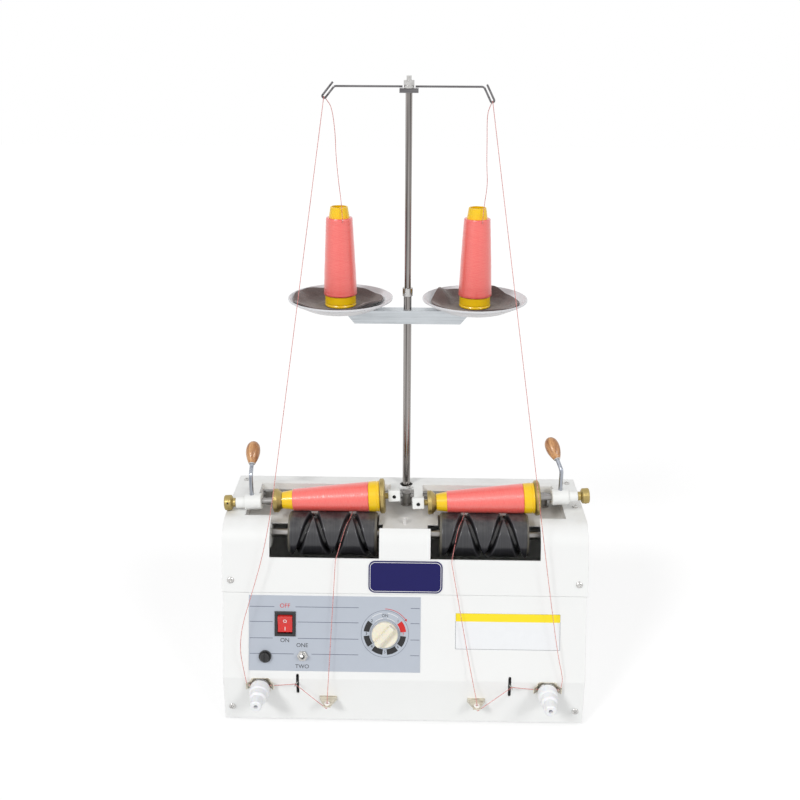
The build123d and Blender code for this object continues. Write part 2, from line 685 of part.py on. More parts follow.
def large_centre(frame):
    """Brass centre for the tube's base: a wide disc with a rounded rim and a nose in the bore."""
    nose = tube_bore(WOUND_LENGTH + TUBE_BASE - CENTRE_NOSE) - CENTRE_SEAT
    length = LARGE_CENTRE_LENGTH
    outline = [(-length, 0), (-length, LARGE_CENTRE_RADIUS - 2), (-length + 1.4, LARGE_CENTRE_RADIUS)]
    outline += [(-1.6, LARGE_CENTRE_RADIUS), (-CENTRE_SEAT, LARGE_CENTRE_RADIUS - 1.4)]
    outline += [(-CENTRE_SEAT, nose), (CENTRE_NOSE, nose - 1), (CENTRE_NOSE, 0)]
    return turned(outline, frame)


def centre_length(head, inner):
    """Length of the centre at a head's inner or outer end."""
    large = (head == 0) == inner
    return LARGE_CENTRE_LENGTH if large else SMALL_CENTRE_LENGTH - CENTRE_SEAT


def inner_centre_frame(head):
    """Frame of the centre at the inner block."""
    return centre_frame(head, end_heights(head)[0], tail_end(head))


def outer_centre_frame(head):
    """Frame of the sprung centre."""
    return centre_frame(head, end_heights(head)[1], -tail_end(head))


def head_flange(head):
    """Inner brass centre with its axle in the block's bearing bore."""
    frame = inner_centre_frame(head)
    disc = large_centre(frame) if head == 0 else small_centre(frame)
    start = -centre_length(head, True)
    end = start - BLOCK_AWAY - BLOCK_LENGTH + 4
    return [disc + turned([(end, 0), (end, SPINDLE_RADIUS), (start, SPINDLE_RADIUS), (start, 0)], frame)]


def tail_brass(head):
    """Outer brass centre and the brass knob on the same spindle."""
    frame = outer_centre_frame(head)
    disc = small_centre(frame) if head == 0 else large_centre(frame)
    bore = SPINDLE_RADIUS + FIT
    back = -centre_length(head, False)
    disc -= turned([(back - 1, 0), (back - 1, bore), (back + 4, bore), (back + 4, 0)], frame)
    start = back - BARREL_AWAY - BARREL_LENGTH - BARREL_NECK_LENGTH
    neck = start - 0.5
    grip = neck - KNOB_NECK + KNOB_LENGTH
    end = grip - KNOB_LENGTH
    outline = [(neck, bore), (neck, KNOB_NECK_RADIUS), (grip, KNOB_NECK_RADIUS), (grip - 1.2, KNOB_RADIUS - 1.4)]
    outline += [(grip - 2.4, KNOB_RADIUS), (end + 0.8, KNOB_RADIUS), (end, KNOB_RADIUS - 0.8), (end, 0), (end + 3, 0), (end + 3, bore)]
    return [disc, turned(outline, frame)]


def tail_spindle(head):
    """Steel spindle that slides in the barrel."""
    frame = outer_centre_frame(head)
    back = -centre_length(head, False)
    end = back - BARREL_AWAY - BARREL_LENGTH - BARREL_NECK_LENGTH - 0.5 - KNOB_NECK + 3.2
    top = back + 3.8
    return [turned([(end, 0), (end, SPINDLE_RADIUS), (top, SPINDLE_RADIUS), (top, 0)], frame)]


def arm_plate(head, height, width):
    """Side arm from the pivot boss to a point on the cone's axis, with the link bar's corner."""
    target = on_axis(head, height)
    plate = Plane((target.X, 0, 0), x_dir=(0, 1, 0), z_dir=(1, 0, 0))
    rings = Pos(PIVOT_Y, PIVOT_Z) * Circle(PIVOT_BOSS)
    rings += Pos(target.Y, target.Z) * Circle(ARM_CORNER)
    rings += Pos(PIVOT_Y - 2, PIVOT_Z + LINK_RISE) * Circle(LINK_SIDE / 2)
    return plate.location * extrude(make_hull(rings.edges()), amount=width / 2, both=True)


def swing_frame(head):
    """Cradle casting: square inner block, round outer barrel, two arms, link bar and pivot bosses."""
    inner = inner_centre_frame(head)
    near = -centre_length(head, True) - BLOCK_AWAY
    square = Pos(0, 0, near - BLOCK_LENGTH / 2) * Box(BLOCK_SIDE, BLOCK_SIDE, BLOCK_LENGTH)
    square = fillet(square.edges().filter_by(Axis.Z), 1.5)
    body = inner.location * square
    outer = outer_centre_frame(head)
    start = -centre_length(head, False) - BARREL_AWAY
    step = start - BARREL_LENGTH
    end = step - BARREL_NECK_LENGTH
    outline = [(start, 0), (start, BARREL_RADIUS - 0.8), (start - 0.8, BARREL_RADIUS), (step + 0.8, BARREL_RADIUS)]
    outline += [(step, BARREL_RADIUS - 0.8), (step, BARREL_NECK_RADIUS), (end, BARREL_NECK_RADIUS), (end, 0)]
    body += turned(outline, outer)
    block_height = end_heights(head)[0] + tail_end(head) * (near - BLOCK_LENGTH / 2)
    barrel_height = end_heights(head)[1] - tail_end(head) * (start - BARREL_LENGTH / 2)
    xs = []
    for height in (block_height, barrel_height):
        body += arm_plate(head, height, ARM_WIDTH)
        xs.append(on_axis(head, height).X)
    xs.sort()
    half = LINK_SIDE / 2
    body += block(xs[0], xs[1], PIVOT_Y - 2 - half, PIVOT_Y - 2 + half, PIVOT_Z + LINK_RISE - half, PIVOT_Z + LINK_RISE + half)
    body -= rod((xs[0] - 20, PIVOT_Y, PIVOT_Z), (xs[1] + 20, PIVOT_Y, PIVOT_Z), PIVOT_RADIUS + FIT)
    bore = SPINDLE_RADIUS + FIT
    body -= turned([(start + 1, 0), (start + 1, bore), (end - 1, bore), (end - 1, 0)], outer)
    deep = near - BLOCK_LENGTH + 3.6
    body -= turned([(near + 1, 0), (near + 1, bore), (deep, bore), (deep, 0)], inner)
    hole = on_axis(head, block_height)
    body -= rod((hole.X, hole.Y - 12, hole.Z + 1), (hole.X, hole.Y - 5, hole.Z + 1), BLOCK_HOLE_RADIUS)
    foot = lever_foot(head)
    body -= rod(foot, (foot.X, foot.Y, foot.Z + 20), LEVER_RADIUS + FIT)
    return [body]


def lever_foot(head):
    """Bottom of the lever's socket in the barrel."""
    side = tail_end(head)
    frame = cone_frame(head)
    height = (side * LEVER_X - frame.origin.X) / frame.z_dir.X
    axis = on_axis(head, height)
    return Vector(axis.X, axis.Y, axis.Z + BARREL_RADIUS - LEVER_SEAT)


def lever_points(head):
    """Foot, bend and end of the bent lever rod."""
    foot = lever_foot(head) + Vector(0, 0, 0.1)
    bend = foot + Vector(0, 0, LEVER_RISE)
    lean = math.radians(LEVER_BACK)
    aside = math.radians(LEVER_SIDE[head])
    reach = Vector(math.sin(aside), math.sin(lean), math.cos(lean)).normalized() * LEVER_REACH
    return foot, bend, bend + reach


def lever_rod(head):
    """Bent steel rod from the barrel to the handle."""
    return [bent_rod([tuple(p) for p in lever_points(head)], LEVER_BEND, LEVER_RADIUS)]


def lever_handle(head):
    """Turned wooden handle on the rod's end."""
    bend, end = lever_points(head)[1:]
    along = (end - bend).normalized()
    frame = Plane(end - along * (HANDLE_BORE - 0.3), z_dir=along)
    bore = LEVER_RADIUS + FIT
    big = HANDLE_RADIUS
    outline = [(0, bore), (0, big * 0.44), (3, big * 0.6), (9, big * 0.86), (16, big), (22, big * 0.97)]
    outline += [(27, big * 0.76), (30, big * 0.4), (HANDLE_LENGTH, 0), (HANDLE_BORE, 0), (HANDLE_BORE, bore)]
    return [turned(outline, frame)]


def pivot_posts():
    """Round posts on the deck and the one pivot shaft they carry behind both heads."""
    top = PIVOT_Z + POST_RISE
    bore = PIVOT_RADIUS + FIT
    posts = []
    for x in POST_X:
        post = turned([(DECK_HEIGHT, 0), (DECK_HEIGHT, POST_RADIUS + 2), (DECK_HEIGHT + 2, POST_RADIUS + 2),
                       (DECK_HEIGHT + 2, POST_RADIUS), (top, POST_RADIUS), (top, 0)], Plane((x, PIVOT_Y, 0)))
        posts.append(post - rod((x - 20, PIVOT_Y, PIVOT_Z), (x + 20, PIVOT_Y, PIVOT_Z), bore))
    half = RECESS_HALF - 0.3
    return posts + [rod((-half, PIVOT_Y, PIVOT_Z), (half, PIVOT_Y, PIVOT_Z), PIVOT_RADIUS)]


# ---------------------------------------------------------------- controls


def control_panel():
    """Thin plate on the leaning panel with the controls' holes."""
    middle = ((PANEL_LEFT + PANEL_RIGHT) / 2, (PANEL_LOW + PANEL_HIGH) / 2)
    plate = panel_frame(*middle, PANEL_THICK / 2).location * Box(PANEL_RIGHT - PANEL_LEFT, PANEL_HIGH - PANEL_LOW, PANEL_THICK)
    return [plate - control_holes()]


def rocker_frame():
    """Frame of the rocker on the panel plate's face."""
    return panel_frame(*ROCKER_AT, PANEL_THICK)


def switch_housings():
    """Black rocker bezel with its body, and the fuse holder."""
    well_x = ROCKER_WIDTH - 2 * ROCKER_RIM
    well_y = ROCKER_HEIGHT - 2 * ROCKER_RIM
    bezel = Pos(0, 0, ROCKER_PROUD / 2) * Box(ROCKER_WIDTH, ROCKER_HEIGHT, ROCKER_PROUD)
    bezel = chamfer(bezel.faces().sort_by(Axis.Z)[-1].edges(), 1.0)
    body = Pos(0, 0, -ROCKER_BODY / 2) * Box(ROCKER_WIDTH - 3.4, ROCKER_HEIGHT - 3.4, ROCKER_BODY)
    well = Pos(0, 0, ROCKER_PROUD - 14) * Box(well_x, well_y, 28)
    rocker = rocker_frame().location * (bezel + body - well)
    inner = FUSE_CAP_RADIUS + 0.25
    outline = [(-26, 0), (-26, FUSE_BODY_RADIUS), (0, FUSE_BODY_RADIUS), (0, FUSE_RADIUS), (2.2, FUSE_RADIUS), (3, FUSE_RADIUS - 0.8),
               (3, inner), (-10, inner), (-10, 0)]
    return [rocker, turned(outline, panel_frame(*FUSE_AT, PANEL_THICK))]


def rocker():
    """Rocker paddle: a barrel sector with two slanted faces, pressed in at its lower end."""
    width = ROCKER_WIDTH - 2 * ROCKER_RIM - 2 * SIDE_GAP
    radius = (ROCKER_HEIGHT - 2 * ROCKER_RIM) / 2 - SIDE_GAP
    round_bar = Rot(0, 90, 0) * Cylinder(radius, width)
    half = radius + 2
    rise = half * math.tan(math.radians(ROCKER_TILT))
    low = ROCKER_PIVOT + ROCKER_PROUD - 0.8
    keep = Plane.YZ * Polygon((-half, -6), (half, -6), (half, low + rise), (0, low), (-half, low + rise), align=None)
    paddle = round_bar & extrude(keep, amount=width, both=True)
    paddle = Rot(ROCKER_TILT, 0, 0) * paddle
    return [rocker_frame().location * (Pos(0, 0, -ROCKER_PIVOT) * paddle)]


def toggle_bushing():
    """Nickel bushing, hex nut and switch body of the toggle."""
    frame = panel_frame(*TOGGLE_AT, PANEL_THICK)
    nut = extrude(RegularPolygon(TOGGLE_NUT / 2, 6), amount=2.4)
    bush = Pos(0, 0, -3) * Cylinder(TOGGLE_BUSH_RADIUS, 16)
    body = Pos(0, 0, -17) * Box(13, 20, 16)
    bore = Pos(0, 0, 0.5) * Cylinder(TOGGLE_BORE, 9.1)
    return [frame.location * (nut + bush + body - bore)]


def toggle_lever():
    """Bat lever and ball, thrown up."""
    tip = TOGGLE_LEVER
    stem = turned([(0, 0), (0, 1.5), (5, 1.5), (tip - 2, 2.3), (tip - 0.6, 2), (tip, 0)])
    lever = Rot(-TOGGLE_TILT, 0, 0) * (stem + Sphere(TOGGLE_BALL))
    return [panel_frame(*TOGGLE_AT, PANEL_THICK).location * lever]


def fuse_cap():
    """Slotted bayonet cap of the fuse holder."""
    outline = [(-9, 0), (-9, 3.2), (-2, 3.2), (-2, FUSE_CAP_RADIUS), (6, FUSE_CAP_RADIUS), (7, FUSE_CAP_RADIUS - 1), (7, 0)]
    cap = turned(outline) - Pos(0, 0, 6.6) * Box(1.4, 2 * FUSE_CAP_RADIUS + 1, 2)
    return [panel_frame(*FUSE_AT, PANEL_THICK).location * cap]


def speed_control():
    """Potentiometer behind the panel and its circuit board."""
    frame = panel_frame(*DIAL_AT)
    behind = -SHEET - FIT
    pot = Pos(0, 0, behind - 6) * Cylinder(POT_RADIUS, 12)
    pot -= Pos(0, 0, behind - 5) * Cylinder(DIAL_SHAFT_RADIUS + FIT, 10.1)
    board = Pos(0, 0, behind - 12.8) * Box(60, 46, 1.6)
    return [frame.location * (pot + board)]


def dial_knob():
    """Round ivory knob with a grip bar across it, on its shaft."""
    skirt = turned([(0.4, 0), (0.4, DIAL_RADIUS), (DIAL_SKIRT - 1, DIAL_RADIUS), (DIAL_SKIRT, DIAL_RADIUS - 1), (DIAL_SKIRT, 0)])
    grip = Pos(0, 0, DIAL_SKIRT + DIAL_GRIP / 2) * Box(2 * DIAL_RADIUS, DIAL_GRIP_WIDTH, DIAL_GRIP)
    grip = chamfer(grip.faces().sort_by(Axis.Z)[-1].edges().filter_by(Axis.X), 2.2)
    grip &= Pos(0, 0, DIAL_SKIRT + DIAL_GRIP / 2) * Cylinder(DIAL_RADIUS - 1, DIAL_GRIP + 2)
    knob = Rot(0, 0, DIAL_TURN) * (skirt + grip)
    shaft = turned([(-10, 0), (-10, DIAL_SHAFT_RADIUS), (3, DIAL_SHAFT_RADIUS), (3, 0)])
    return [panel_frame(*DIAL_AT, PANEL_THICK).location * (knob + shaft)]


# ---------------------------------------------------------------- thread path


def tension_frame(side):
    """Frame of a tension post, z out of the lower band."""
    return Plane((side * TENSION_X, -CASE_FRONT, TENSION_Z), x_dir=(1, 0, 0), z_dir=(0, -1, 0))


def tension_bracket(side):
    """Plate behind the tension discs with two ears folded forward, each with a thread hole."""
    half = EAR_REACH - 2.2
    plate = extrude(Pos(0, EAR_RISE / 2) * RectangleRounded(2 * half, 20, 3), amount=BRACKET_THICK)
    plate -= Cylinder(TENSION_STUD + FIT, 10)
    for ear_side in (-1, 1):
        ear = Box(EAR_SIZE, EAR_SIZE, BRACKET_THICK) - Cylinder(EAR_HOLE, 4)
        seat = Pos(ear_side * EAR_REACH, EAR_RISE, EAR_HEIGHT) * Rot(0, -45 * ear_side, 0)
        plate += seat * ear
    return tension_frame(side).location * plate


def tension_discs():
    """Two studs, each with a pair of polished discs."""
    first = EAR_HEIGHT - DISC_GAP / 2 - DISC_THICK
    second = EAR_HEIGHT + DISC_GAP / 2
    solids = []
    for side in (-1, 1):
        frame = tension_frame(side)
        reach = knob_base() + sum(length for _, length in KNOB_STEPS) - 12
        stud = turned([(-8, 0), (-8, TENSION_STUD), (reach, TENSION_STUD), (reach, 0)], frame)
        washers = []
        for base in (first, second):
            ring = [(base, TENSION_STUD + FIT), (base, TENSION_DISC), (base + DISC_THICK, TENSION_DISC - 0.3),
                    (base + DISC_THICK, TENSION_STUD + FIT)]
            washers.append(turned(ring, frame))
        solids += [stud] + washers
    return solids


def knob_base():
    """Height of the adjusting nut's back face over the band."""
    return EAR_HEIGHT + DISC_GAP / 2 + DISC_THICK + 0.3


def tension_knob(side):
    """White stepped adjusting nut with a hole in its tip."""
    base = knob_base()
    height = base
    outline = [(base, TENSION_STUD + FIT)]
    for radius, length in KNOB_STEPS:
        outline += [(height + 0.6, radius), (height + length - 1.2, radius - 0.5)]
        height += length
    stud_end = base + sum(length for _, length in KNOB_STEPS) - 12
    outline += [(height, KNOB_STEPS[-1][0] - 1.8), (height, KNOB_TIP_HOLE), (stud_end, KNOB_TIP_HOLE), (stud_end, TENSION_STUD + FIT)]
    return [turned(outline, tension_frame(side))]


def takeup_wire(side):
    """Bent wire on its pivot, out through the slot, with an upturned end."""
    x = side * SLOT_X
    y, z = TAKEUP_PIVOT_Y, TAKEUP_PIVOT_Z
    front = -CASE_FRONT - TAKEUP_FRONT
    shift = x + side * TAKEUP_SHIFT
    top = z + TAKEUP_RISE
    points = [(x, y - TAKEUP_EYE + 0.6, z + 0.4), (x, -CASE_FRONT - 2, top - 0.6), (shift, -CASE_FRONT - 6, top),
              (shift, front, top), (shift, front - 2, top + 3.5)]
    wire = bent_rod(points, [1.6, 1.6, 1.6], TAKEUP_WIRE)
    eye = rod((x - 1, y, z), (x + 1, y, z), TAKEUP_EYE) - rod((x - 2, y, z), (x + 2, y, z), TAKEUP_PIN + FIT)
    return [wire + eye]


def thread_guide(x):
    """Folded guide under the take-up: a plate that narrows to its bead, with two side folds."""
    frame = Plane((x, -CASE_FRONT, GUIDE_Z), x_dir=(1, 0, 0), z_dir=(0, 0, 1))
    half, tip, reach = GUIDE_WIDTH / 2, BEAD_RADIUS + 1, GUIDE_REACH + BEAD_RADIUS + 0.6
    plan = Polygon((-half, 0), (half, 0), (tip, -GUIDE_REACH), (tip, -reach), (-tip, -reach), (-tip, -GUIDE_REACH), align=None)
    down = (0, 0, -1)
    solid = extrude(plan, amount=BRACKET_THICK, dir=down)
    for edge in (-1, 1):
        fold = Polygon((edge * half, 0), (edge * (half - BRACKET_THICK), 0), (edge * (tip - BRACKET_THICK), -GUIDE_REACH),
                       (edge * tip, -GUIDE_REACH), align=None)
        solid += extrude(fold, amount=GUIDE_DROP + BRACKET_THICK, dir=down)
    solid -= Pos(0, -GUIDE_REACH, 0) * Cylinder(BEAD_RADIUS - 1 + FIT, 20)
    deep, shallow = -BRACKET_THICK - GUIDE_DROP, -BRACKET_THICK - GUIDE_DROP_TIP
    under = Plane.YZ * Polygon((1, deep), (-GUIDE_REACH, shallow), (-GUIDE_REACH, deep - 5), (1, deep - 5), align=None)
    return frame.location * (solid - extrude(under, amount=GUIDE_WIDTH, both=True))


def thread_brackets():
    """Tension plates and folded guides on the lower band."""
    return [tension_bracket(side) for side in (-1, 1)] + [thread_guide(x) for x in GUIDE_X]


def guide_beads():
    """Glazed beads in the guides' tips."""
    low = -BRACKET_THICK
    outline = [(low - 1.6, BEAD_BORE + 0.5), (low - 1.6, BEAD_RADIUS - 1), (0, BEAD_RADIUS - 1), (0, BEAD_RADIUS - 0.5),
               (1.2, BEAD_RADIUS), (2.4, BEAD_RADIUS - 0.6), (2.8, BEAD_BORE + 0.7), (1.6, BEAD_BORE), (-1.4, BEAD_BORE)]
    y = -CASE_FRONT - GUIDE_REACH
    return [turned(outline, Plane((x, y, GUIDE_Z))) for x in GUIDE_X]


# ---------------------------------------------------------------- stand


def lower_tube():
    """Lower stand tube from the base plate to the collar."""
    floor = FOOT_HEIGHT + BASE_SHEET
    bore = UPPER_TUBE_RADIUS + FIT
    outline = [(floor, bore), (floor, LOWER_TUBE_RADIUS), (COLLAR_TOP - COLLAR_HEIGHT + 2, LOWER_TUBE_RADIUS)]
    outline += [(COLLAR_TOP - COLLAR_HEIGHT + 2, bore)]
    return [turned(outline, Plane((0, POLE_Y, 0)))]


def upper_tube():
    """Upper stand tube, telescoped into the lower one."""
    foot = COLLAR_TOP - UPPER_INSERT
    outline = [(foot, TUBE_BORE), (foot, UPPER_TUBE_RADIUS), (POLE_TOP, UPPER_TUBE_RADIUS), (POLE_TOP, TUBE_BORE)]
    return [turned(outline, Plane((0, POLE_Y, 0)))]


def stand_fittings():
    """Base socket, clamp collar with its screw, and the top nut with its stud."""
    pole = Plane((0, POLE_Y, 0))
    floor = FOOT_HEIGHT + BASE_SHEET
    snug = LOWER_TUBE_RADIUS + FIT
    socket = turned([(floor, snug), (floor, 16), (floor + 2, 16), (floor + 2, 9), (floor + 26, 9), (floor + 26, snug)], pole)
    low = COLLAR_TOP - COLLAR_HEIGHT
    seat = low + 2
    collar = turned([(low, snug), (low, COLLAR_RADIUS), (COLLAR_TOP, COLLAR_RADIUS), (COLLAR_TOP, UPPER_TUBE_RADIUS + FIT),
                     (seat, UPPER_TUBE_RADIUS + FIT), (seat, snug)], pole)
    screw = rod((0, POLE_Y + UPPER_TUBE_RADIUS + 0.5, low + 6), (0, POLE_Y + COLLAR_RADIUS + 4, low + 6), 1.6)
    plate_top = POLE_TOP + TOP_PLATE_THICK
    stud = turned([(POLE_TOP - 16, 0), (POLE_TOP - 16, TUBE_BORE - FIT), (plate_top + 14, TUBE_BORE - FIT), (plate_top + 14, 0)], pole)
    nut = Pos(0, POLE_Y, plate_top + 3) * extrude(RegularPolygon(6.2, 6), amount=6)
    washer = Pos(0, POLE_Y, plate_top + 1.5) * Cylinder(6, 3)
    return [socket, collar + screw, stud + nut + washer]


def bar_web():
    """Top web of the cross bar with rounded tongues under the trays."""
    web = Box(2 * TRAY_X, BAR_DEPTH, BAR_SHEET)
    for side in (-1, 1):
        web += Pos(side * TRAY_X, 0, 0) * Cylinder(BAR_DEPTH / 2, BAR_SHEET)
    return Pos(0, POLE_Y, BAR_TOP - BAR_SHEET / 2) * web


def cross_bar():
    """Channel that carries both trays, its flanges cut slanted at the ends."""
    bar = bar_web()
    low = BAR_TOP - BAR_HEIGHT
    shape = Polygon((-BAR_HIGH_HALF, BAR_TOP), (BAR_HIGH_HALF, BAR_TOP), (BAR_LOW_HALF, low), (-BAR_LOW_HALF, low), align=None)
    for y in (POLE_Y - BAR_DEPTH / 2 + BAR_SHEET / 2, POLE_Y + BAR_DEPTH / 2 - BAR_SHEET / 2):
        bar += Plane((0, y, 0), x_dir=(1, 0, 0), z_dir=(0, -1, 0)).location * extrude(shape, amount=BAR_SHEET / 2, both=True)
    bar -= Pos(0, POLE_Y, BAR_TOP) * Cylinder(LOWER_TUBE_RADIUS + FIT, 60)
    for side in (-1, 1):
        bar -= Pos(side * TRAY_X, POLE_Y, BAR_TOP) * Cylinder(2.5 + FIT, 20)
    return [bar]


def trays():
    """Two shallow saucers with rolled rims."""
    low, high = BAR_TOP, BAR_TOP + TRAY_DEPTH
    wall = TRAY_WALL
    outline = [(low, 2.5 + FIT), (low, TRAY_FLOOR), (low + 2.6, TRAY_FLOOR + 12), (high - 5, TRAY_RADIUS - 6), (high - 1.6, TRAY_RADIUS),
               (high, TRAY_RADIUS), (high + 0.6, TRAY_RADIUS - 1.2), (high - 3.4, TRAY_RADIUS - 6.6), (low + 2.6 + wall, TRAY_FLOOR + 11.6),
               (low + wall, TRAY_FLOOR - 0.4), (low + wall, 2.5 + FIT)]
    return [turned(outline, Plane((side * TRAY_X, POLE_Y, 0))) for side in (-1, 1)]


def pad_rest(radius):
    """Height of the tray's inner surface at a radius."""
    low = BAR_TOP + TRAY_WALL
    knee = TRAY_FLOOR - 0.4
    if radius <= knee:
        return low
    slope_end = TRAY_FLOOR + 11.6
    if radius <= slope_end:
        return low + 2.6 * (radius - knee) / (slope_end - knee)
    rise = TRAY_DEPTH - 3.4 - 2.6 - TRAY_WALL
    return low + 2.6 + rise * (radius - slope_end) / (TRAY_RADIUS - 6.6 - slope_end)


def tray_pads():
    """Felt pads in the trays, dished with them and turned up at the edge."""
    solids = []
    for side in (-1, 1):
        stations = (PIN_RADIUS + 1.5, TRAY_FLOOR - 2, TRAY_FLOOR + 10, PAD_RADIUS)
        under = [(pad_rest(r) + PAD_GAP, r) for r in stations]
        over = [(height + PAD_THICK, r) for height, r in reversed(under)]
        solids.append(turned(under + over, Plane((side * TRAY_X, POLE_Y, 0))))
    return solids


def spool_pins():
    """Pins through the trays and the bar, with collar above and nut below."""
    floor = BAR_TOP + TRAY_WALL
    solids = []
    for side in (-1, 1):
        under = BAR_TOP - BAR_SHEET
        outline = [(under - 7, 0), (under - 7, 2.5), (under - 5, 2.5), (under - 5, 4.6), (under, 4.6), (under, 2.5),
                   (floor, 2.5), (floor, PIN_RADIUS + 0.8), (floor + 1.4, PIN_RADIUS + 0.8), (floor + 1.4, PIN_RADIUS),
                   (floor + PIN_HEIGHT - 3, PIN_RADIUS), (floor + PIN_HEIGHT, 1.5), (floor + PIN_HEIGHT, 0)]
        solids.append(turned(outline, Plane((side * TRAY_X, POLE_Y, 0))))
    return solids


def supply_frame(head):
    """Frame of a supply cone, tip up, in the wound cone's own heights."""
    side = -1 if head == 0 else 1
    top = BAR_TOP + TRAY_WALL + PAD_GAP + PAD_THICK + PAD_GAP + WOUND_LENGTH + TUBE_BASE
    return Plane((side * TRAY_X, POLE_Y, top), x_dir=(1, 0, 0), z_dir=(0, 0, -1))


def hook_points(side):
    """Route of one guide arm's wire from the top plate to the hook's end."""
    low = 745.4 if side < 0 else 741.8
    reach = 96.6 if side < 0 else 94.6
    start = (side * 6, POLE_Y, ARM_HEIGHT)
    bend = (side * 86.5, POLE_Y, ARM_HEIGHT)
    slope = Vector(reach - 86.5, 0, low - ARM_HEIGHT).normalized()
    out = Vector(-slope.Z, 0, slope.X)
    bottom = Vector(reach, 0, low) + slope * 2.6
    turn = bottom + out * HOOK_GAP
    tip = turn - slope * 21
    return start, bend, [(side * p.X, POLE_Y, p.Z) for p in (bottom, turn, tip)]


def thread_arms():
    """Bent top plate and the two hooked wire arms welded on it."""
    plate = Pos(0, POLE_Y, POLE_TOP + TOP_PLATE_THICK / 2) * Box(2 * TOP_PLATE_HALF, 14, TOP_PLATE_THICK)
    plate -= Pos(0, POLE_Y, POLE_TOP) * Cylinder(TUBE_BORE, 10)
    lip = Pos(0, POLE_Y - 7 + 0.8, POLE_TOP - 1.2) * Box(2 * TOP_PLATE_HALF, TOP_PLATE_THICK, 4)
    solids = [plate + lip]
    for side in (-1, 1):
        start, bend, hook = hook_points(side)
        start = (side * 7.5, POLE_Y, ARM_HEIGHT)
        gap = HOOK_GAP / 2 - 0.02
        solids.append(bent_rod([start, bend] + hook, [4.0, gap, gap], ARM_WIRE))
    return solids


# ---------------------------------------------------------------- threads

def over_hook(side):
    """Where the thread turns over the bottom of a guide arm's hook: last vertex behind it and first in front."""
    bottom, turn, tip = (Vector(*point) for point in hook_points(side)[2])
    up = (tip - turn).normalized()
    top = (bottom + turn) / 2 + up * (ARM_WIRE + THREAD_DIAMETER / 2 + TOUCH)
    return [(top.X, top.Y + shift, top.Z, TURN_OVER_ARM) for shift in (HOOK_STRADDLE, -HOOK_STRADDLE)]


def through_tension(side):
    """Straight pass through one ear, between the discs and out of the other ear."""
    y = -CASE_FRONT - EAR_HEIGHT
    z = TENSION_Z + EAR_RISE
    outer, inner = (side * (TENSION_X + shift) for shift in (EAR_REACH + 2.1, -EAR_REACH - 2.1))
    return [(outer, y, z, TURN_IN_EAR), (inner, y, z, 8 * TURN_IN_EAR)]


def over_takeup(side):
    """Vertex of the thread on top of the take-up wire."""
    y, z = TAKEUP_CROSSING, TAKEUP_PIVOT_Z + TAKEUP_RISE
    rise = (TAKEUP_WIRE + THREAD_DIAMETER / 2 + TOUCH) * 1.1
    return [(side * (SLOT_X + TAKEUP_SHIFT) - side * 0.3, y, z + rise, TURN_OVER_TAKEUP)]


def through_bead(x):
    """Turn under a guide's bead and straight up its bore."""
    y = -CASE_FRONT - GUIDE_REACH
    return [(x, y, GUIDE_Z - BEAD_HEIGHT - 2.5, TURN_UNDER_BEAD), (x, y, GUIDE_Z + BEAD_HEIGHT)]


def to_drum(sill_x, touch_x):
    """Past the window's sill and on towards the groove's floor, ending just outside the drum."""
    sill = Vector(sill_x, SILL_PASS_Y, SILL_PASS_Z)
    away = Vector(0, sill.Y - DRUM_Y, sill.Z - DRUM_Z)
    floor = DRUM_RADIUS - GROOVE_DEPTH + THREAD_DIAMETER / 2
    turn = math.atan2(away.Z, away.Y) - math.acos(floor / away.length)
    touch = Vector(touch_x, DRUM_Y + floor * math.cos(turn), DRUM_Z + floor * math.sin(turn))
    whole = math.sqrt(away.length**2 - floor**2)
    outside = math.sqrt((DRUM_RADIUS + THREAD_DIAMETER / 2 + NIP_GAP) ** 2 - floor**2)
    end = touch + (sill - touch) * (outside / whole)
    return [(sill.X, sill.Y, sill.Z, TURN_OVER_SILL), tuple(end)]


def thread_route(head):
    """Whole route of one thread, from the supply cone to the drum."""
    side = tail_end(head)
    if head == 0:
        supply = [(-78.3, 59.4, 602.0), (-79.2, 63.0, 622.0), (-83.2, 72.5, 648.0), (-86.3, 77.5, 679.0),
                  (-86.8, 79.8, 706.0), (-90.4, 80.6, 734.0)]
        free = [(-161.5, -52.5, 277.0), (-171.5, -68.0, 223.0), (-186.0, -81.5, 174.0), (-197.8, -93.5, 136.0),
                (-200.4, -101.5, 107.0), (-196.4, -104.4, 80.0)]
        rise = to_drum(-84.7, -74.4)
    else:
        supply = [(88.7, 59.4, 602.0), (90.2, 63.0, 622.0), (94.4, 72.5, 646.0), (92.8, 77.6, 668.0),
                  (92.4, 79.8, 697.0), (91.4, 80.4, 727.0)]
        free = [(177.4, -80.5, 174.5), (188.4, -99.0, 104.0), (195.4, -104.4, 76.0)]
        rise = [(80.4, -99.6, 92.0)] + to_drum(57.2, 65.6)
    front = through_tension(side) + over_takeup(side) + through_bead(GUIDE_X[head])
    return supply + over_hook(side) + free + front + rise


def turn_angle(before, here, after):
    """Angle in degrees by which a route turns at a point."""
    return (Vector(*here) - Vector(*before)).get_angle(Vector(*after) - Vector(*here))


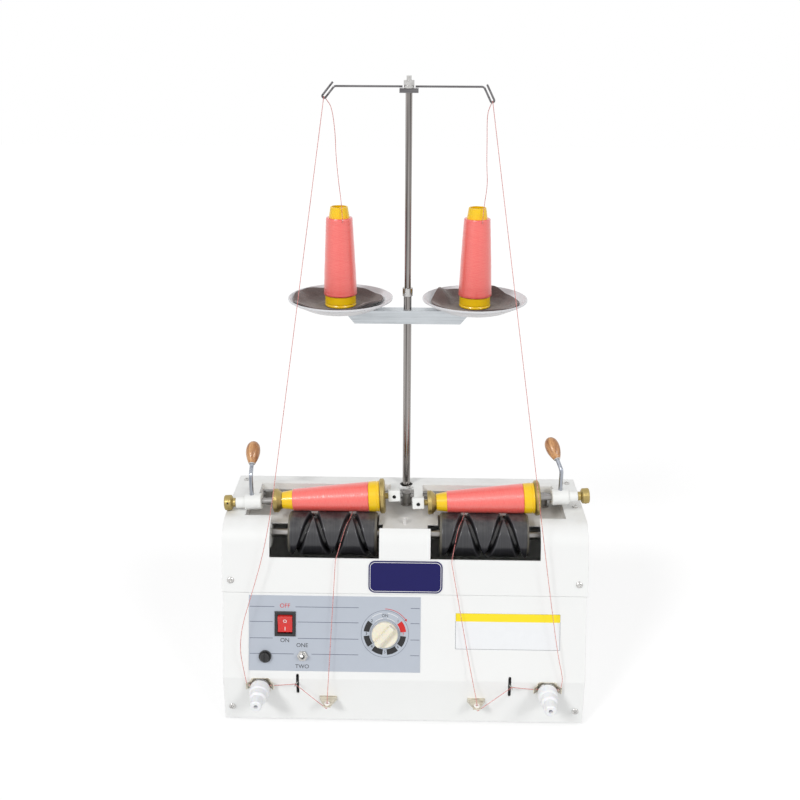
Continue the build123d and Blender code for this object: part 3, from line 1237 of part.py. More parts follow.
def thread(name, route):
    """Thread tube along straight runs joined by tangent arcs: a stated radius, or as large as the runs allow."""
    points = [place[:3] for place in route]
    radii = []
    for index in range(1, len(route) - 1):
        before, here, after = points[index - 1:index + 2]
        shorter = min((Vector(*here) - Vector(*before)).length, (Vector(*after) - Vector(*here)).length)
        widest = 0.45 * shorter / math.tan(math.radians(turn_angle(before, here, after)) / 2)
        radii.append(route[index][3] if len(route[index]) == 4 else widest)
    path = FilletPolyline(*points, radius=radii)
    section = Plane(path @ 0, z_dir=path % 0) * RegularPolygon(THREAD_DIAMETER / 2, 6)
    tube = sweep(section, path=path)
    share = tube.volume / (section.area * path.length)
    print(name, "length", round(path.length, 1), "smallest radius", round(min(radii), 1), "volume share", round(share, 4))
    return [tube]


def write(name, solids):
    """Write one node's solids to its STEP file."""
    flat = []
    for item in solids:
        flat += list(item.solids())
    for index, solid in enumerate(flat):
        solid.label = name if len(flat) == 1 else name + "_" + str(index + 1)
    export_step(flat[0] if len(flat) == 1 else Compound(label=name, children=flat), "parts/" + name + ".step")


def shared_nodes():
    """Nodes that exist once."""
    return {
        "case_body": case_body(),
        "top_cover": top_cover(),
        "deck_tray": deck_tray(),
        "base_plate": base_plate(),
        "rubber_feet": rubber_feet(),
        "case_screws": case_screws(),
        "power_inlet": power_inlet(),
        "drum_left": drum(DRUM_CENTRES[0]),
        "drum_right": drum(DRUM_CENTRES[1]),
        "drum_shaft": drum_shaft(),
        "motor_pulley": motor_pulley(),
        "drive_motor": drive_motor(),
        "drive_belt": drive_belt(),
        "shaft_bearings": shaft_bearings(),
        "pivot_posts": pivot_posts(),
        "control_panel": control_panel(),
        "switch_housings": switch_housings(),
        "rocker": rocker(),
        "toggle_bushing": toggle_bushing(),
        "toggle_lever": toggle_lever(),
        "fuse_cap": fuse_cap(),
        "speed_control": speed_control(),
        "dial_knob": dial_knob(),
        "thread_brackets": thread_brackets(),
        "tension_discs": tension_discs(),
        "guide_beads": guide_beads(),
        "lower_tube": lower_tube(),
        "upper_tube": upper_tube(),
        "stand_fittings": stand_fittings(),
        "cross_bar": cross_bar(),
        "trays": trays(),
        "tray_pads": tray_pads(),
        "spool_pins": spool_pins(),
        "thread_arms": thread_arms(),
        "thread_left": thread("thread_left", thread_route(0)),
        "thread_right": thread("thread_right", thread_route(1)),
    }


def head_nodes(head, side_name):
    """Nodes that each winding head has for itself."""
    side = tail_end(head)
    wound = cone_frame(head)
    supply = supply_frame(head)
    nodes = {
        "swing_frame": swing_frame(head),
        "lever_rod": lever_rod(head),
        "lever_handle": lever_handle(head),
        "head_flange": head_flange(head),
        "cone_tube": [tube_solid(wound)],
        "cone_yarn": [yarn_solid(wound, WOUND_SMALL_RADIUS, WOUND_LARGE_RADIUS)],
        "tail_spindle": tail_spindle(head),
        "tail_brass": tail_brass(head),
        "supply_tube": [tube_solid(supply)],
        "supply_yarn": [yarn_solid(supply, SUPPLY_TIP_YARN, SUPPLY_BASE_YARN)],
        "tension_knob": tension_knob(side),
        "takeup_wire": takeup_wire(side),
    }
    return {name + "_" + side_name: solids for name, solids in nodes.items()}


os.makedirs("parts", exist_ok=True)
all_nodes = shared_nodes()
all_nodes.update(head_nodes(0, "left"))
all_nodes.update(head_nodes(1, "right"))
for node_name, node_solids in all_nodes.items():
    write(node_name, node_solids)
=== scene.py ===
"""Looks of the two-head yarn cone winder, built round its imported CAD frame.

Metres, X to the right, Y to the back, Z up. Sizes in the classes are millimetres, as in the CAD source.
"""

import logging
import math
from dataclasses import dataclass, field
from enum import Enum
from typing import Callable, Mapping, Sequence

import bpy
import numpy as np
from mathutils import Matrix, Vector


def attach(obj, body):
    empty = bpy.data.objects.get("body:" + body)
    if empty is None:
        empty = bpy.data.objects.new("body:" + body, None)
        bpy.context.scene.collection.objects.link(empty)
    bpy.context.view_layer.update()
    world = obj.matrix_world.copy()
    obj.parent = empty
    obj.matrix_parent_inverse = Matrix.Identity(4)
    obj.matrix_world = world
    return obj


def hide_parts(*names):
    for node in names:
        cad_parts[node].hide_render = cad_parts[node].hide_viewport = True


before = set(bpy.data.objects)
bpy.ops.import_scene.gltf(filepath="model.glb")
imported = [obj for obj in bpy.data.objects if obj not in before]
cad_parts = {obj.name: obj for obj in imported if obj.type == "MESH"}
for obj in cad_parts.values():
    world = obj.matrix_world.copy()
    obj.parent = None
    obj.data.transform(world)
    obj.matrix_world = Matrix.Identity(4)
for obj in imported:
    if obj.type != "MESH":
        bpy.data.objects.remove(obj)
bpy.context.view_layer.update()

log = logging.getLogger("winder")

MM = 0.001
LEAN = math.radians(17.5)
NIP_LEAN = math.radians(17.5)
CASE_FRONT = 100.0
CASE_BACK = 98.7
CASE_TOP = 250.3
BAND_TOP = 66.0
COVER_GROW = 1.3
PANEL_THICK = 0.8
POLE_Y = 76.0
DRUM_Y = -17.0
DRUM_Z = 225.5
DRUM_RADIUS = 27.5
DRUM_CENTRES = (-90.0, 98.0)

Point = tuple[float, float, float]
Colour = tuple[float, float, float]


def srgb(colour: Colour, alpha: float = 1.0) -> tuple[float, float, float, float]:
    """Turns a display colour into the linear one that shaders take.

    Args:
        colour: Red, green and blue from 0 to 255.
        alpha: Opacity.

    Returns:
        Linear red, green, blue and alpha.
    """
    parts = [c / 255 for c in colour]
    linear = [p / 12.92 if p <= 0.04045 else ((p + 0.055) / 1.055) ** 2.4 for p in parts]
    return (linear[0], linear[1], linear[2], alpha)


def placed(origin: Point, x_dir: Point, z_dir: Point) -> Matrix:
    """Frame in metres from an origin in millimetres and two directions.

    Args:
        origin: Where the frame sits.
        x_dir: Direction of its x axis.
        z_dir: Direction of its z axis.

    Returns:
        The frame as a matrix.
    """
    z = Vector(z_dir).normalized()
    x = Vector(x_dir)
    x = (x - z * x.dot(z)).normalized()
    y = z.cross(x)
    turn = Matrix((x, y, z)).transposed().to_4x4()
    return Matrix.Translation(Vector(origin) * MM) @ turn


def panel_frame(x: float, up: float, lift: float = PANEL_THICK) -> Matrix:
    """Frame on the leaning front: x to the right, y up the slope, z outward.

    Args:
        x: Distance to the right.
        up: Distance up the slope from the bend.
        lift: Height over the case's leaning face.

    Returns:
        The frame as a matrix.
    """
    sin, cos = math.sin(LEAN), math.cos(LEAN)
    origin = (x, -CASE_FRONT + up * sin - lift * cos, BAND_TOP + up * cos + lift * sin)
    return placed(origin, (1, 0, 0), (0, -cos, sin))


def smooth(value: np.ndarray) -> np.ndarray:
    """Smooth step of values clipped to 0 and 1."""
    held = np.clip(value, 0, 1)
    return held * held * (3 - 2 * held)


# ------------------------------------------------------------------ shader building


class Graph:
    """Short-hand for adding and joining nodes in one node tree."""

    def __init__(self, tree: bpy.types.NodeTree) -> None:
        """Keeps the tree that nodes are added to."""
        self.tree = tree

    def node(self, kind: str, inputs: Mapping | None = None, **settings: object) -> bpy.types.Node:
        """Adds a node.

        Args:
            kind: Blender's node type.
            inputs: Socket name or number, with a socket to join or a constant to hold.
            **settings: Properties of the node.

        Returns:
            The new node.
        """
        made = self.tree.nodes.new(kind)
        for key, value in settings.items():
            setattr(made, key, value)
        for key, value in (inputs or {}).items():
            if isinstance(value, bpy.types.NodeSocket):
                self.tree.links.new(value, made.inputs[key])
            else:
                made.inputs[key].default_value = value
        return made

    def calc(self, operation: str, *terms: object, clamp: bool = False) -> bpy.types.NodeSocket:
        """Adds a maths node on up to three numbers and returns its result."""
        inputs = dict(enumerate(terms))
        return self.node("ShaderNodeMath", inputs, operation=operation, use_clamp=clamp).outputs[0]

    def tint(self, share: object, first: object, second: object, mode: str = "MIX") -> bpy.types.NodeSocket:
        """Mixes two colours by a share and returns the result."""
        made = self.node("ShaderNodeMix", data_type="RGBA", blend_type=mode)
        for key, value in zip((0, 6, 7), (share, first, second)):
            if isinstance(value, bpy.types.NodeSocket):
                self.tree.links.new(value, made.inputs[key])
            else:
                made.inputs[key].default_value = value
        return made.outputs[2]

    def noise(self, vector: object, scale: object, detail: float = 2.0, rough: float = 0.5) -> bpy.types.NodeSocket:
        """Adds a noise texture and returns its value."""
        made = self.node("ShaderNodeTexNoise", {"Scale": scale, "Detail": detail, "Roughness": rough})
        if vector is not None:
            self.tree.links.new(vector, made.inputs["Vector"])
        return made.outputs["Fac"]

    def ramp(self, value: object, low: float, high: float) -> bpy.types.NodeSocket:
        """Maps a value from low..high to 0..1 smoothly and clamped."""
        inputs = {"Value": value, "From Min": low, "From Max": high}
        return self.node("ShaderNodeMapRange", inputs, interpolation_type="SMOOTHSTEP").outputs["Result"]

    def coords(self) -> bpy.types.NodeSocket:
        """The piece's own coordinates in metres."""
        return self.node("ShaderNodeTexCoord").outputs["Object"]

    def effect(self, effect: "Effect", **inputs: object) -> bpy.types.Node:
        """Places a shared effect.

        Args:
            effect: Which effect.
            **inputs: Its inputs by name, underscores standing for spaces.

        Returns:
            The group node.
        """
        named = {key.replace("_", " "): value for key, value in inputs.items()}
        made = self.tree.nodes.new("ShaderNodeGroup")
        made.node_tree = EFFECTS.tree(effect)
        for key, value in named.items():
            if isinstance(value, bpy.types.NodeSocket):
                self.tree.links.new(value, made.inputs[key])
            else:
                made.inputs[key].default_value = value
        return made


class Effect(Enum):
    """Surface effects that several finishes share."""

    TONE = "tone_drift"
    EDGES = "worn_edges"
    PEEL = "fine_relief"
    DUST = "dust_film"
    AXIS = "axis_coordinates"
    LATHE = "turned_lines"
    STREAKS = "long_streaks"
    WINDING = "wound_thread"
    FIBRE = "felt_fibre"
    GRAIN = "wood_grain"


FLOAT, COLOR, VECTOR = "NodeSocketFloat", "NodeSocketColor", "NodeSocketVector"


class EffectLibrary:
    """Builds each shared effect once, as a node group with named inputs and outputs."""

    def __init__(self) -> None:
        """Starts with no effect built."""
        self.built: dict[Effect, bpy.types.ShaderNodeTree] = {}
        self.makers: dict[Effect, Callable] = {
            Effect.TONE: self.tone,
            Effect.EDGES: self.edges,
            Effect.PEEL: self.peel,
            Effect.DUST: self.dust,
            Effect.AXIS: self.axis,
            Effect.LATHE: self.lathe,
            Effect.STREAKS: self.streaks,
            Effect.WINDING: self.winding,
            Effect.FIBRE: self.fibre,
            Effect.GRAIN: self.grain,
        }

    def tree(self, effect: Effect) -> bpy.types.ShaderNodeTree:
        """The node group of an effect.

        Args:
            effect: Which effect.

        Returns:
            Its node tree, built on first use.
        """
        if effect not in self.built:
            made = bpy.data.node_groups.new(effect.value, "ShaderNodeTree")
            self.built[effect] = made
            self.makers[effect](made)
        return self.built[effect]

    @staticmethod
    def sockets(tree: bpy.types.NodeTree, takes: Mapping, gives: Mapping) -> tuple[Graph, bpy.types.Node, bpy.types.Node]:
        """Gives a group its sockets.

        Args:
            tree: The group's tree.
            takes: Input name with (socket type, default).
            gives: Output name with socket type.

        Returns:
            A graph on the tree, and its input and output nodes.
        """
        for name, (kind, value) in takes.items():
            made = tree.interface.new_socket(name=name, in_out="INPUT", socket_type=kind)
            if value is not None:
                made.default_value = value
        for name, kind in gives.items():
            tree.interface.new_socket(name=name, in_out="OUTPUT", socket_type=kind)
        graph = Graph(tree)
        return graph, graph.node("NodeGroupInput"), graph.node("NodeGroupOutput")

    def tone(self, tree: bpy.types.NodeTree) -> None:
        """Slow drift of a colour's brightness over the surface."""
        takes = {"Vector": (VECTOR, None), "Color": (COLOR, None), "Drift": (FLOAT, 0.05), "Scale": (FLOAT, 20.0)}
        graph, given, out = self.sockets(tree, takes, {"Color": COLOR, "Value": FLOAT})
        wide = graph.noise(given.outputs["Vector"], given.outputs["Scale"], 4.0, 0.6)
        shift = graph.calc("MULTIPLY", graph.calc("SUBTRACT", wide, 0.5), graph.calc("MULTIPLY", given.outputs["Drift"], 3.0))
        level = graph.calc("ADD", 1.0, shift)
        grey = graph.node("ShaderNodeCombineColor", {0: level, 1: level, 2: level}).outputs[0]
        result = graph.tint(1.0, given.outputs["Color"], grey, "MULTIPLY")
        tree.links.new(result, out.inputs["Color"])
        tree.links.new(wide, out.inputs["Value"])

    def edges(self, tree: bpy.types.NodeTree) -> None:
        """Softly rounded edges, and a mask of where paint wears there."""
        takes = {"Vector": (VECTOR, None), "Radius": (FLOAT, 0.0005), "Amount": (FLOAT, 0.3), "Scale": (FLOAT, 160.0)}
        graph, given, out = self.sockets(tree, takes, {"Normal": VECTOR, "Mask": FLOAT})
        bevel = graph.node("ShaderNodeBevel", {"Radius": given.outputs["Radius"]}, samples=4)
        plain = graph.node("ShaderNodeNewGeometry").outputs["Normal"]
        dot = graph.node("ShaderNodeVectorMath", {0: bevel.outputs[0], 1: plain}, operation="DOT_PRODUCT")
        turned = graph.calc("SUBTRACT", 1.0, dot.outputs["Value"])
        patchy = graph.ramp(graph.noise(given.outputs["Vector"], given.outputs["Scale"], 5.0, 0.7), 0.42, 0.62)
        mask = graph.calc("MULTIPLY", graph.ramp(turned, 0.02, 0.25), graph.calc("MULTIPLY", patchy, given.outputs["Amount"]), clamp=True)
        tree.links.new(bevel.outputs[0], out.inputs["Normal"])
        tree.links.new(mask, out.inputs["Mask"])

    def peel(self, tree: bpy.types.NodeTree) -> None:
        """Fine relief, as the peel of sprayed paint or a moulded skin."""
        takes = {"Vector": (VECTOR, None), "Normal": (VECTOR, None), "Scale": (FLOAT, 900.0), "Strength": (FLOAT, 0.2)}
        graph, given, out = self.sockets(tree, takes, {"Normal": VECTOR})
        height = graph.noise(given.outputs["Vector"], given.outputs["Scale"], 2.0, 0.5)
        inputs = {"Strength": given.outputs["Strength"], "Distance": 0.0002, "Height": height, "Normal": given.outputs["Normal"]}
        tree.links.new(graph.node("ShaderNodeBump", inputs).outputs[0], out.inputs["Normal"])

    def dust(self, tree: bpy.types.NodeTree) -> None:
        """Thin film of dust on surfaces that face up."""
        takes = {"Vector": (VECTOR, None), "Color": (COLOR, None), "Dust": (COLOR, srgb((205, 200, 192))),
                 "Roughness": (FLOAT, 0.4), "Amount": (FLOAT, 0.2)}
        graph, given, out = self.sockets(tree, takes, {"Color": COLOR, "Roughness": FLOAT})
        normal = graph.node("ShaderNodeNewGeometry").outputs["Normal"]
        up = graph.ramp(graph.node("ShaderNodeSeparateXYZ", {0: normal}).outputs["Z"], 0.35, 1.0)
        cloud = graph.ramp(graph.noise(given.outputs["Vector"], 60.0, 6.0, 0.65), 0.3, 0.75)
        share = graph.calc("MULTIPLY", graph.calc("MULTIPLY", up, cloud), given.outputs["Amount"], clamp=True)
        tree.links.new(graph.tint(share, given.outputs["Color"], given.outputs["Dust"]), out.inputs["Color"])
        smear = graph.calc("MULTIPLY", graph.noise(given.outputs["Vector"], 25.0, 4.0, 0.6), 0.16)
        rough = graph.calc("ADD", graph.calc("ADD", given.outputs["Roughness"], graph.calc("SUBTRACT", smear, 0.08)),
                           graph.calc("MULTIPLY", share, 0.5), clamp=True)
        tree.links.new(rough, out.inputs["Roughness"])

    def axis(self, tree: bpy.types.NodeTree) -> None:
        """Distance along and from an axis in millimetres, and the turn round it from 0 to 1."""
        takes = {"Vector": (VECTOR, None), "Origin": (VECTOR, None), "Rotation": (VECTOR, None)}
        graph, given, out = self.sockets(tree, takes, {"Along": FLOAT, "Radius": FLOAT, "Turn": FLOAT})
        inputs = {"Vector": given.outputs["Vector"], "Location": given.outputs["Origin"], "Rotation": given.outputs["Rotation"]}
        local = graph.node("ShaderNodeMapping", inputs, vector_type="TEXTURE").outputs[0]
        parts = graph.node("ShaderNodeSeparateXYZ", {0: local}).outputs
        away = graph.calc("SQRT", graph.calc("ADD", graph.calc("MULTIPLY", parts[0], parts[0]), graph.calc("MULTIPLY", parts[1], parts[1])))
        turn = graph.calc("MULTIPLY_ADD", graph.calc("ARCTAN2", parts[1], parts[0]), 0.5 / math.pi, 0.5)
        tree.links.new(graph.calc("MULTIPLY", parts[2], 1000.0), out.inputs["Along"])
        tree.links.new(graph.calc("MULTIPLY", away, 1000.0), out.inputs["Radius"])
        tree.links.new(turn, out.inputs["Turn"])

    def lathe(self, tree: bpy.types.NodeTree) -> None:
        """Turning marks round an axis, on walls and on end faces."""
        takes = {"Along": (FLOAT, 0.0), "Radius": (FLOAT, 0.0), "Scale": (FLOAT, 2.0), "Strength": (FLOAT, 0.2), "Normal": (VECTOR, None)}
        graph, given, out = self.sockets(tree, takes, {"Normal": VECTOR, "Tone": FLOAT})
        place = graph.calc("MULTIPLY", graph.calc("ADD", given.outputs["Along"], given.outputs["Radius"]), given.outputs["Scale"])
        fine = graph.node("ShaderNodeTexNoise", {"W": place, "Scale": 1.0, "Detail": 3.0, "Roughness": 0.7}, noise_dimensions="1D")
        inputs = {"Strength": given.outputs["Strength"], "Distance": 0.0003, "Height": fine.outputs["Fac"], "Normal": given.outputs["Normal"]}
        tree.links.new(graph.node("ShaderNodeBump", inputs).outputs[0], out.inputs["Normal"])
        tree.links.new(fine.outputs["Fac"], out.inputs["Tone"])

    def streaks(self, tree: bpy.types.NodeTree) -> None:
        """Long thin streaks along one direction, as on drawn or rolled metal."""
        takes = {"Vector": (VECTOR, None), "Stretch": (VECTOR, (900.0, 900.0, 6.0))}
        graph, given, out = self.sockets(tree, takes, {"Value": FLOAT})
        inputs = {"Vector": given.outputs["Vector"], "Scale": given.outputs["Stretch"]}
        stretched = graph.node("ShaderNodeMapping", inputs).outputs[0]
        tree.links.new(graph.noise(stretched, 1.0, 4.0, 0.65), out.inputs["Value"])

    def winding(self, tree: bpy.types.NodeTree) -> None:
        """Cross-wound thread: two slanted layers that swap places in diamonds."""
        takes = {"Along": (FLOAT, 0.0), "Turn": (FLOAT, 0.0), "Lead": (FLOAT, 27.8), "Threads": (FLOAT, 48.0)}
        graph, given, out = self.sockets(tree, takes, {"Height": FLOAT, "Tone": FLOAT, "Glint": FLOAT})
        climb = graph.calc("DIVIDE", given.outputs["Along"], given.outputs["Lead"])
        right = graph.calc("SUBTRACT", climb, given.outputs["Turn"])
        left = graph.calc("ADD", climb, given.outputs["Turn"])
        full = 2 * math.pi

        def wave(phase: object, count: object) -> bpy.types.NodeSocket:
            """Height of one slanted layer of threads."""
            return graph.calc("SINE", graph.calc("MULTIPLY", graph.calc("MULTIPLY", phase, count), full))

        threads = given.outputs["Threads"]
        coarse = graph.calc("MULTIPLY", wave(right, 4.0), wave(left, 4.0))
        small = graph.calc("MULTIPLY", wave(right, 12.0), wave(left, 12.0))
        wander = graph.node("ShaderNodeTexNoise", {"W": graph.calc("MULTIPLY", right, 22.0), "Scale": 1.0, "Detail": 3.0}, noise_dimensions="1D")
        counter = graph.node("ShaderNodeTexNoise", {"W": graph.calc("MULTIPLY", left, 22.0), "Scale": 1.0, "Detail": 3.0}, noise_dimensions="1D")
        swap = graph.ramp(graph.calc("ADD", coarse, graph.calc("MULTIPLY", small, 0.4)), -0.15, 0.15)
        upper = graph.calc("MULTIPLY", wave(right, threads), swap)
        lower = graph.calc("MULTIPLY", wave(left, threads), graph.calc("SUBTRACT", 1.0, swap))
        height = graph.calc("ADD", upper, lower)
        bands = graph.calc("ADD", wander.outputs["Fac"], counter.outputs["Fac"])
        # The tone rises on the thread crests and falls in the valleys, painted highlight and shade, mixed with random
        # bands.
        tone = graph.calc("ADD", graph.calc("MULTIPLY", height, 0.16), graph.calc("MULTIPLY", bands, 0.5))
        glint = graph.calc("MULTIPLY", graph.ramp(bands, 1.02, 1.3), graph.ramp(height, 0.2, 0.9))
        tree.links.new(graph.calc("ADD", height, graph.calc("MULTIPLY", bands, 2.5)), out.inputs["Height"])
        tree.links.new(tone, out.inputs["Tone"])
        tree.links.new(glint, out.inputs["Glint"])

    def fibre(self, tree: bpy.types.NodeTree) -> None:
        """Matted fibres with lighter flecks."""
        takes = {"Vector": (VECTOR, None), "Color": (COLOR, None), "Fleck": (COLOR, None), "Scale": (FLOAT, 700.0)}
        graph, given, out = self.sockets(tree, takes, {"Color": COLOR, "Height": FLOAT})
        fine = graph.noise(given.outputs["Vector"], given.outputs["Scale"], 8.0, 0.75)
        broad = graph.noise(given.outputs["Vector"], graph.calc("MULTIPLY", given.outputs["Scale"], 0.12), 4.0, 0.6)
        fleck = graph.ramp(fine, 0.5, 0.68)
        mottled = graph.tint(graph.calc("MULTIPLY", fleck, 0.55), given.outputs["Color"], given.outputs["Fleck"])
        shade = graph.calc("MULTIPLY_ADD", broad, 0.6, 0.7)
        grey = graph.node("ShaderNodeCombineColor", {0: shade, 1: shade, 2: shade}).outputs[0]
        tree.links.new(graph.tint(1.0, mottled, grey, "MULTIPLY"), out.inputs["Color"])
        tree.links.new(graph.calc("ADD", fine, broad), out.inputs["Height"])

    def grain(self, tree: bpy.types.NodeTree) -> None:
        """Long wood grain with darker rings and short pores."""
        takes = {"Vector": (VECTOR, None), "Light": (COLOR, None), "Dark": (COLOR, None), "Scale": (FLOAT, 260.0)}
        graph, given, out = self.sockets(tree, takes, {"Color": COLOR, "Height": FLOAT})
        squeeze = graph.node("ShaderNodeMapping", {"Vector": given.outputs["Vector"], "Scale": (1.0, 1.0, 0.12)}).outputs[0]
        rings = graph.noise(squeeze, given.outputs["Scale"], 5.0, 0.6)
        pores = graph.noise(squeeze, graph.calc("MULTIPLY", given.outputs["Scale"], 7.0), 2.0, 0.5)
        share = graph.ramp(rings, 0.35, 0.68)
        colour = graph.tint(share, given.outputs["Light"], given.outputs["Dark"])
        pit = graph.ramp(pores, 0.56, 0.66)
        dark = graph.tint(graph.calc("MULTIPLY", pit, 0.35), colour, given.outputs["Dark"], "MULTIPLY")
        tree.links.new(dark, out.inputs["Color"])
        tree.links.new(graph.calc("SUBTRACT", rings, pit), out.inputs["Height"])


EFFECTS = EffectLibrary()


# ------------------------------------------------------------------ finishes


@dataclass(frozen=True)
class Finish:
    """A named finish. Subclasses dress the material's own shader."""

    name: str
    colour: Colour
    roughness: float = 0.5

    def material(self) -> bpy.types.Material:
        """The material with this finish.

        Returns:
            The material, built on first use.
        """
        found = bpy.data.materials.get(self.name)
        if found is not None:
            return found
        made = bpy.data.materials.new(self.name)
        made.use_nodes = True
        made.node_tree.nodes.clear()
        graph = Graph(made.node_tree)
        out = graph.node("ShaderNodeOutputMaterial")
        shader = graph.node("ShaderNodeBsdfPrincipled", {"Base Color": srgb(self.colour), "Roughness": self.roughness})
        made.node_tree.links.new(shader.outputs[0], out.inputs["Surface"])
        made.diffuse_color = srgb(self.colour)
        self.dress(graph, shader)
        return made

    def dress(self, graph: Graph, shader: bpy.types.Node) -> None:
        """Adds the finish's detail to the shader.

        Args:
            graph: The material's graph.
            shader: Its Principled shader.
        """
        raise NotImplementedError

    def join(self, graph: Graph, shader: bpy.types.Node, **sockets: bpy.types.NodeSocket) -> None:
        """Joins named results to the shader's sockets, underscores standing for spaces."""
        for name, socket in sockets.items():
            graph.tree.links.new(socket, shader.inputs[name.replace("_", " ")])


@dataclass(frozen=True)
class Painted(Finish):
    """Sprayed or powder-coated metal with a soft gloss, slight dust and worn edges."""

    peel: float = 0.12
    drift: float = 0.012
    wear: float = 0.25
    worn: Colour = (150, 150, 150)
    dust: float = 0.12
    edge: float = 0.6

    def dress(self, graph: Graph, shader: bpy.types.Node) -> None:
        """Tone drift, peel, worn edges and dust."""
        coords = graph.coords()
        edges = graph.effect(Effect.EDGES, Vector=coords, Radius=self.edge * MM, Amount=self.wear)
        peel = graph.effect(Effect.PEEL, Vector=coords, Scale=1400.0, Strength=self.peel, Normal=edges.outputs["Normal"])
        tone = graph.effect(Effect.TONE, Vector=coords, Color=srgb(self.colour), Drift=self.drift, Scale=14.0)
        worn = graph.tint(edges.outputs["Mask"], tone.outputs["Color"], srgb(self.worn))
        film = graph.effect(Effect.DUST, Vector=coords, Color=worn, Roughness=self.roughness, Amount=self.dust)
        self.join(graph, shader, Base_Color=film.outputs["Color"], Roughness=film.outputs["Roughness"], Normal=peel.outputs["Normal"])
        shader.inputs["Coat Weight"].default_value = 0.25
        shader.inputs["Coat Roughness"].default_value = 0.25


@dataclass(frozen=True)
class Moulded(Finish):
    """Moulded or turned plastic: even colour, fine skin, a little scuffing."""

    skin: float = 0.06
    scuff: float = 0.15
    soft: float = 0.0
    coat: float = 0.0
    edge: float = 0.35

    def dress(self, graph: Graph, shader: bpy.types.Node) -> None:
        """Tone drift, moulded skin, scuffed edges."""
        coords = graph.coords()
        edges = graph.effect(Effect.EDGES, Vector=coords, Radius=self.edge * MM, Amount=self.scuff, Scale=300.0)
        peel = graph.effect(Effect.PEEL, Vector=coords, Scale=2200.0, Strength=self.skin, Normal=edges.outputs["Normal"])
        tone = graph.effect(Effect.TONE, Vector=coords, Color=srgb(self.colour), Drift=0.02, Scale=45.0)
        pale = tuple(min(255.0, c * 0.8 + 60) for c in self.colour)
        worn = graph.tint(edges.outputs["Mask"], tone.outputs["Color"], srgb(pale))
        film = graph.effect(Effect.DUST, Vector=coords, Color=worn, Roughness=self.roughness, Amount=0.05)
        self.join(graph, shader, Base_Color=film.outputs["Color"], Roughness=film.outputs["Roughness"], Normal=peel.outputs["Normal"])
        if self.soft:
            shader.inputs["Subsurface Weight"].default_value = self.soft
            shader.inputs["Subsurface Radius"].default_value = (1.0, 0.7, 0.3)
            shader.inputs["Subsurface Scale"].default_value = 0.0015
        if self.coat:
            shader.inputs["Coat Weight"].default_value = self.coat
            shader.inputs["Coat Roughness"].default_value = 0.08


@dataclass(frozen=True)
class TurnedMetal(Finish):
    """Lathe-turned metal with marks round its axis, tarnish in patches."""

    axis: tuple | None = None
    tarnish: Colour = (90, 75, 40)
    stain: float = 0.3
    marks: float = 0.25

    def dress(self, graph: Graph, shader: bpy.types.Node) -> None:
        """Turning marks, tarnish and rounded edges."""
        coords = graph.coords()
        edges = graph.effect(Effect.EDGES, Vector=coords, Radius=0.0004, Amount=0.35, Scale=220.0)
        matrix = Matrix.Identity(4) if self.axis is None else Matrix(self.axis)
        place = graph.effect(Effect.AXIS, Vector=coords, Origin=matrix.to_translation(), Rotation=matrix.to_euler())
        lines = graph.effect(Effect.LATHE, Along=place.outputs["Along"], Radius=place.outputs["Radius"], Scale=1.6,
                             Strength=self.marks, Normal=edges.outputs["Normal"])
        tone = graph.effect(Effect.TONE, Vector=coords, Color=srgb(self.colour), Drift=0.08, Scale=70.0)
        patch = graph.calc("MULTIPLY", graph.ramp(tone.outputs["Value"], 0.45, 0.75), self.stain)
        dull = graph.tint(patch, tone.outputs["Color"], srgb(self.tarnish))
        streaked = graph.tint(graph.calc("MULTIPLY", graph.ramp(lines.outputs["Tone"], 0.5, 0.8), 0.3), dull, srgb(self.tarnish))
        bright = tuple(min(255.0, c * 1.15 + 10) for c in self.colour)
        colour = graph.tint(edges.outputs["Mask"], streaked, srgb(bright))
        rough = graph.calc("MULTIPLY_ADD", lines.outputs["Tone"], 0.22, self.roughness - 0.08)
        self.join(graph, shader, Base_Color=colour, Roughness=rough, Normal=lines.outputs["Normal"])
        shader.inputs["Metallic"].default_value = 1.0


@dataclass(frozen=True)
class DrawnMetal(Finish):
    """Plated or drawn steel with long streaks along one direction."""

    stretch: Point = (900.0, 900.0, 8.0)
    depth: Colour = (70, 70, 72)
    streak: float = 0.5

    def dress(self, graph: Graph, shader: bpy.types.Node) -> None:
        """Long streaks in tone and gloss."""
        coords = graph.coords()
        edges = graph.effect(Effect.EDGES, Vector=coords, Radius=0.0003, Amount=0.3, Scale=260.0)
        streaks = graph.effect(Effect.STREAKS, Vector=coords, Stretch=self.stretch)
        tone = graph.effect(Effect.TONE, Vector=coords, Color=srgb(self.colour), Drift=0.06, Scale=60.0)
        share = graph.calc("MULTIPLY", graph.ramp(streaks.outputs["Value"], 0.42, 0.72), self.streak)
        colour = graph.tint(share, tone.outputs["Color"], srgb(self.depth))
        bright = tuple(min(255.0, c * 1.1 + 12) for c in self.colour)
        colour = graph.tint(edges.outputs["Mask"], colour, srgb(bright))
        rough = graph.calc("MULTIPLY_ADD", streaks.outputs["Value"], 0.25, self.roughness - 0.1)
        bump = graph.node("ShaderNodeBump", {"Strength": 0.08, "Distance": 0.0002, "Height": streaks.outputs["Value"],
                                             "Normal": edges.outputs["Normal"]})
        self.join(graph, shader, Base_Color=colour, Roughness=rough, Normal=bump.outputs[0])
        shader.inputs["Metallic"].default_value = 1.0


